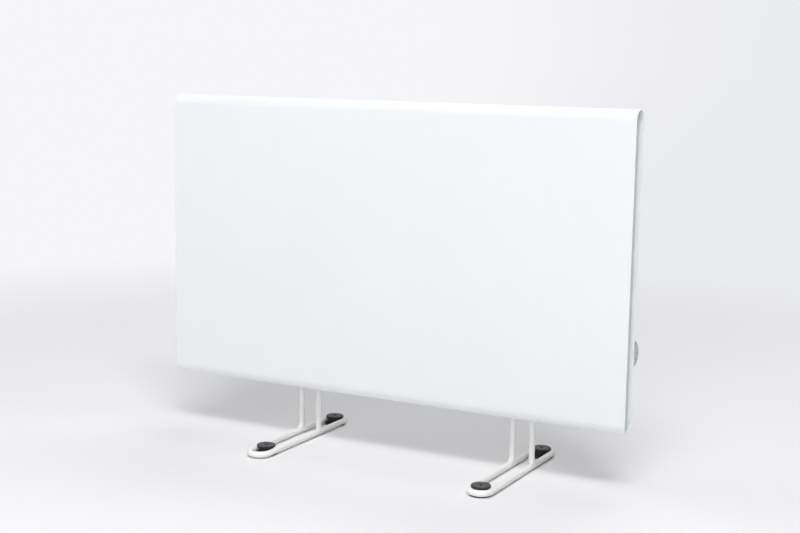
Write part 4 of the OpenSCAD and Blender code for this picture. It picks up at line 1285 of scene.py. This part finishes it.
bm = bmesh.new()
rings = [
    [Vector((radius * math.cos(a), radius * math.sin(a), FLOOR_LEVEL)) for a in full_turn(96)]
    for radius in FLOOR_RADII
]
made = join_rings(bm, rings)
bm.faces.new(made[0])
floor = as_object("floor", bm)

paper = new_material("paper", 0.9, level=0.1)
tree = paper.node_tree
shader = tree.nodes["Principled BSDF"]
spot = object_spot(tree)
fibres = noise_at(tree, spot, FIBRES_PER_METRE, 2.0)
tree.links.new(mix_colours(tree, fibres, rgba(PAPER_DARK), rgba(PAPER_LIGHT)), shader.inputs["Base Color"])
away = place(tree, "ShaderNodeVectorMath", {0: spot}, operation="LENGTH").outputs["Value"]
fade = stretch_value(tree, away, FLOOR_NEAR, FLOOR_FAR, **SOFT)
glow = place(tree, "ShaderNodeEmission", {"Color": backdrop_colour(tree, spot), "Strength": 1.0})
blend = place(tree, "ShaderNodeMixShader", {0: fade, 1: shader.outputs[0], 2: glow.outputs[0]})
tree.links.new(blend.outputs[0], tree.nodes["Material Output"].inputs["Surface"])
floor.data.materials.append(paper)
print("floor:", len(floor.data.polygons), "faces out to", FLOOR_RADII[-1], "metres")

# %% [markdown]
# Beyond the floor the world shows the same colour. Only rays that look at it see it: those from the camera,
# and those that a glossy or a clear surface sends on. To all others it is dark, so the heater is lit by the
# lamps alone.

# %% The background
world = bpy.data.worlds.new("studio")
world.use_nodes = True
bpy.context.scene.world = world
tree = world.node_tree
tree.nodes.clear()
ray = place(tree, "ShaderNodeLightPath").outputs
looks = maths(tree, "MAXIMUM", ray["Is Camera Ray"], ray["Is Glossy Ray"])
seen = maths(tree, "MAXIMUM", looks, ray["Is Transmission Ray"])
gaze = place(tree, "ShaderNodeTexCoord").outputs["Generated"]
plain = place(tree, "ShaderNodeBackground", {"Color": backdrop_colour(tree, gaze), "Strength": seen})
place(tree, "ShaderNodeOutputWorld", {"Surface": plain.outputs[0]})
print("background:", world.name)

# %% [markdown]
# The light is that of a bright studio, which has soft boxes on all sides but the right. Those in front
# stand mostly high up and a little to the right, so the panel's front and top are the brightest surfaces
# and its right end stays in half shade. The ones behind, overhead and on the left lift the shadow, which
# falls behind the heater, wide and soft, and the two low ones brighten the feet and the roll under the
# panel. Each has its place, the point that it faces, its width and height, and its power in watts.

# %% The lamps
PANEL_MIDDLE = (0.0, 0.0, 0.2)
FLOOR_MIDDLE = (0.0, 0.0, 0.0)


def soft_box(name, at, toward, size, power):
    data = bpy.data.lights.new(name, "AREA")
    data.shape = "RECTANGLE"
    data.size, data.size_y = size
    data.energy = power
    lamp = bpy.data.objects.new(name, data)
    bpy.context.collection.objects.link(lamp)
    lamp.location = at
    lamp.rotation_euler = (Vector(toward) - Vector(at)).to_track_quat("-Z", "Y").to_euler()
    return lamp


soft_box("wide_front_box", (0.0, -4.6, 3.8), PANEL_MIDDLE, (3.5, 2.4), 25)
soft_box("front_soft_box", (1.3, -4.8, 3.8), PANEL_MIDDLE, (1.8, 1.6), 16)
soft_box("steep_front_box", (0.6, -2.6, 4.2), PANEL_MIDDLE, (1.6, 1.2), 49)
soft_box("steep_right_box", (2.0, -2.4, 4.0), PANEL_MIDDLE, (1.6, 1.2), 73)
soft_box("level_soft_box", (1.2, -4.6, 2.4), PANEL_MIDDLE, (1.8, 1.2), 26)
soft_box("low_soft_box", (1.0, -3.8, 1.0), PANEL_MIDDLE, (1.6, 1.0), 25)
soft_box("side_soft_box", (-5.0, -1.0, 2.4), PANEL_MIDDLE, (2.5, 2.5), 38)
soft_box("ceiling_soft_box", (0.0, -0.5, 4.5), FLOOR_MIDDLE, (3.5, 2.5), 40)
soft_box("rear_soft_box", (0.0, 2.5, 4.0), FLOOR_MIDDLE, (4.0, 2.0), 82)
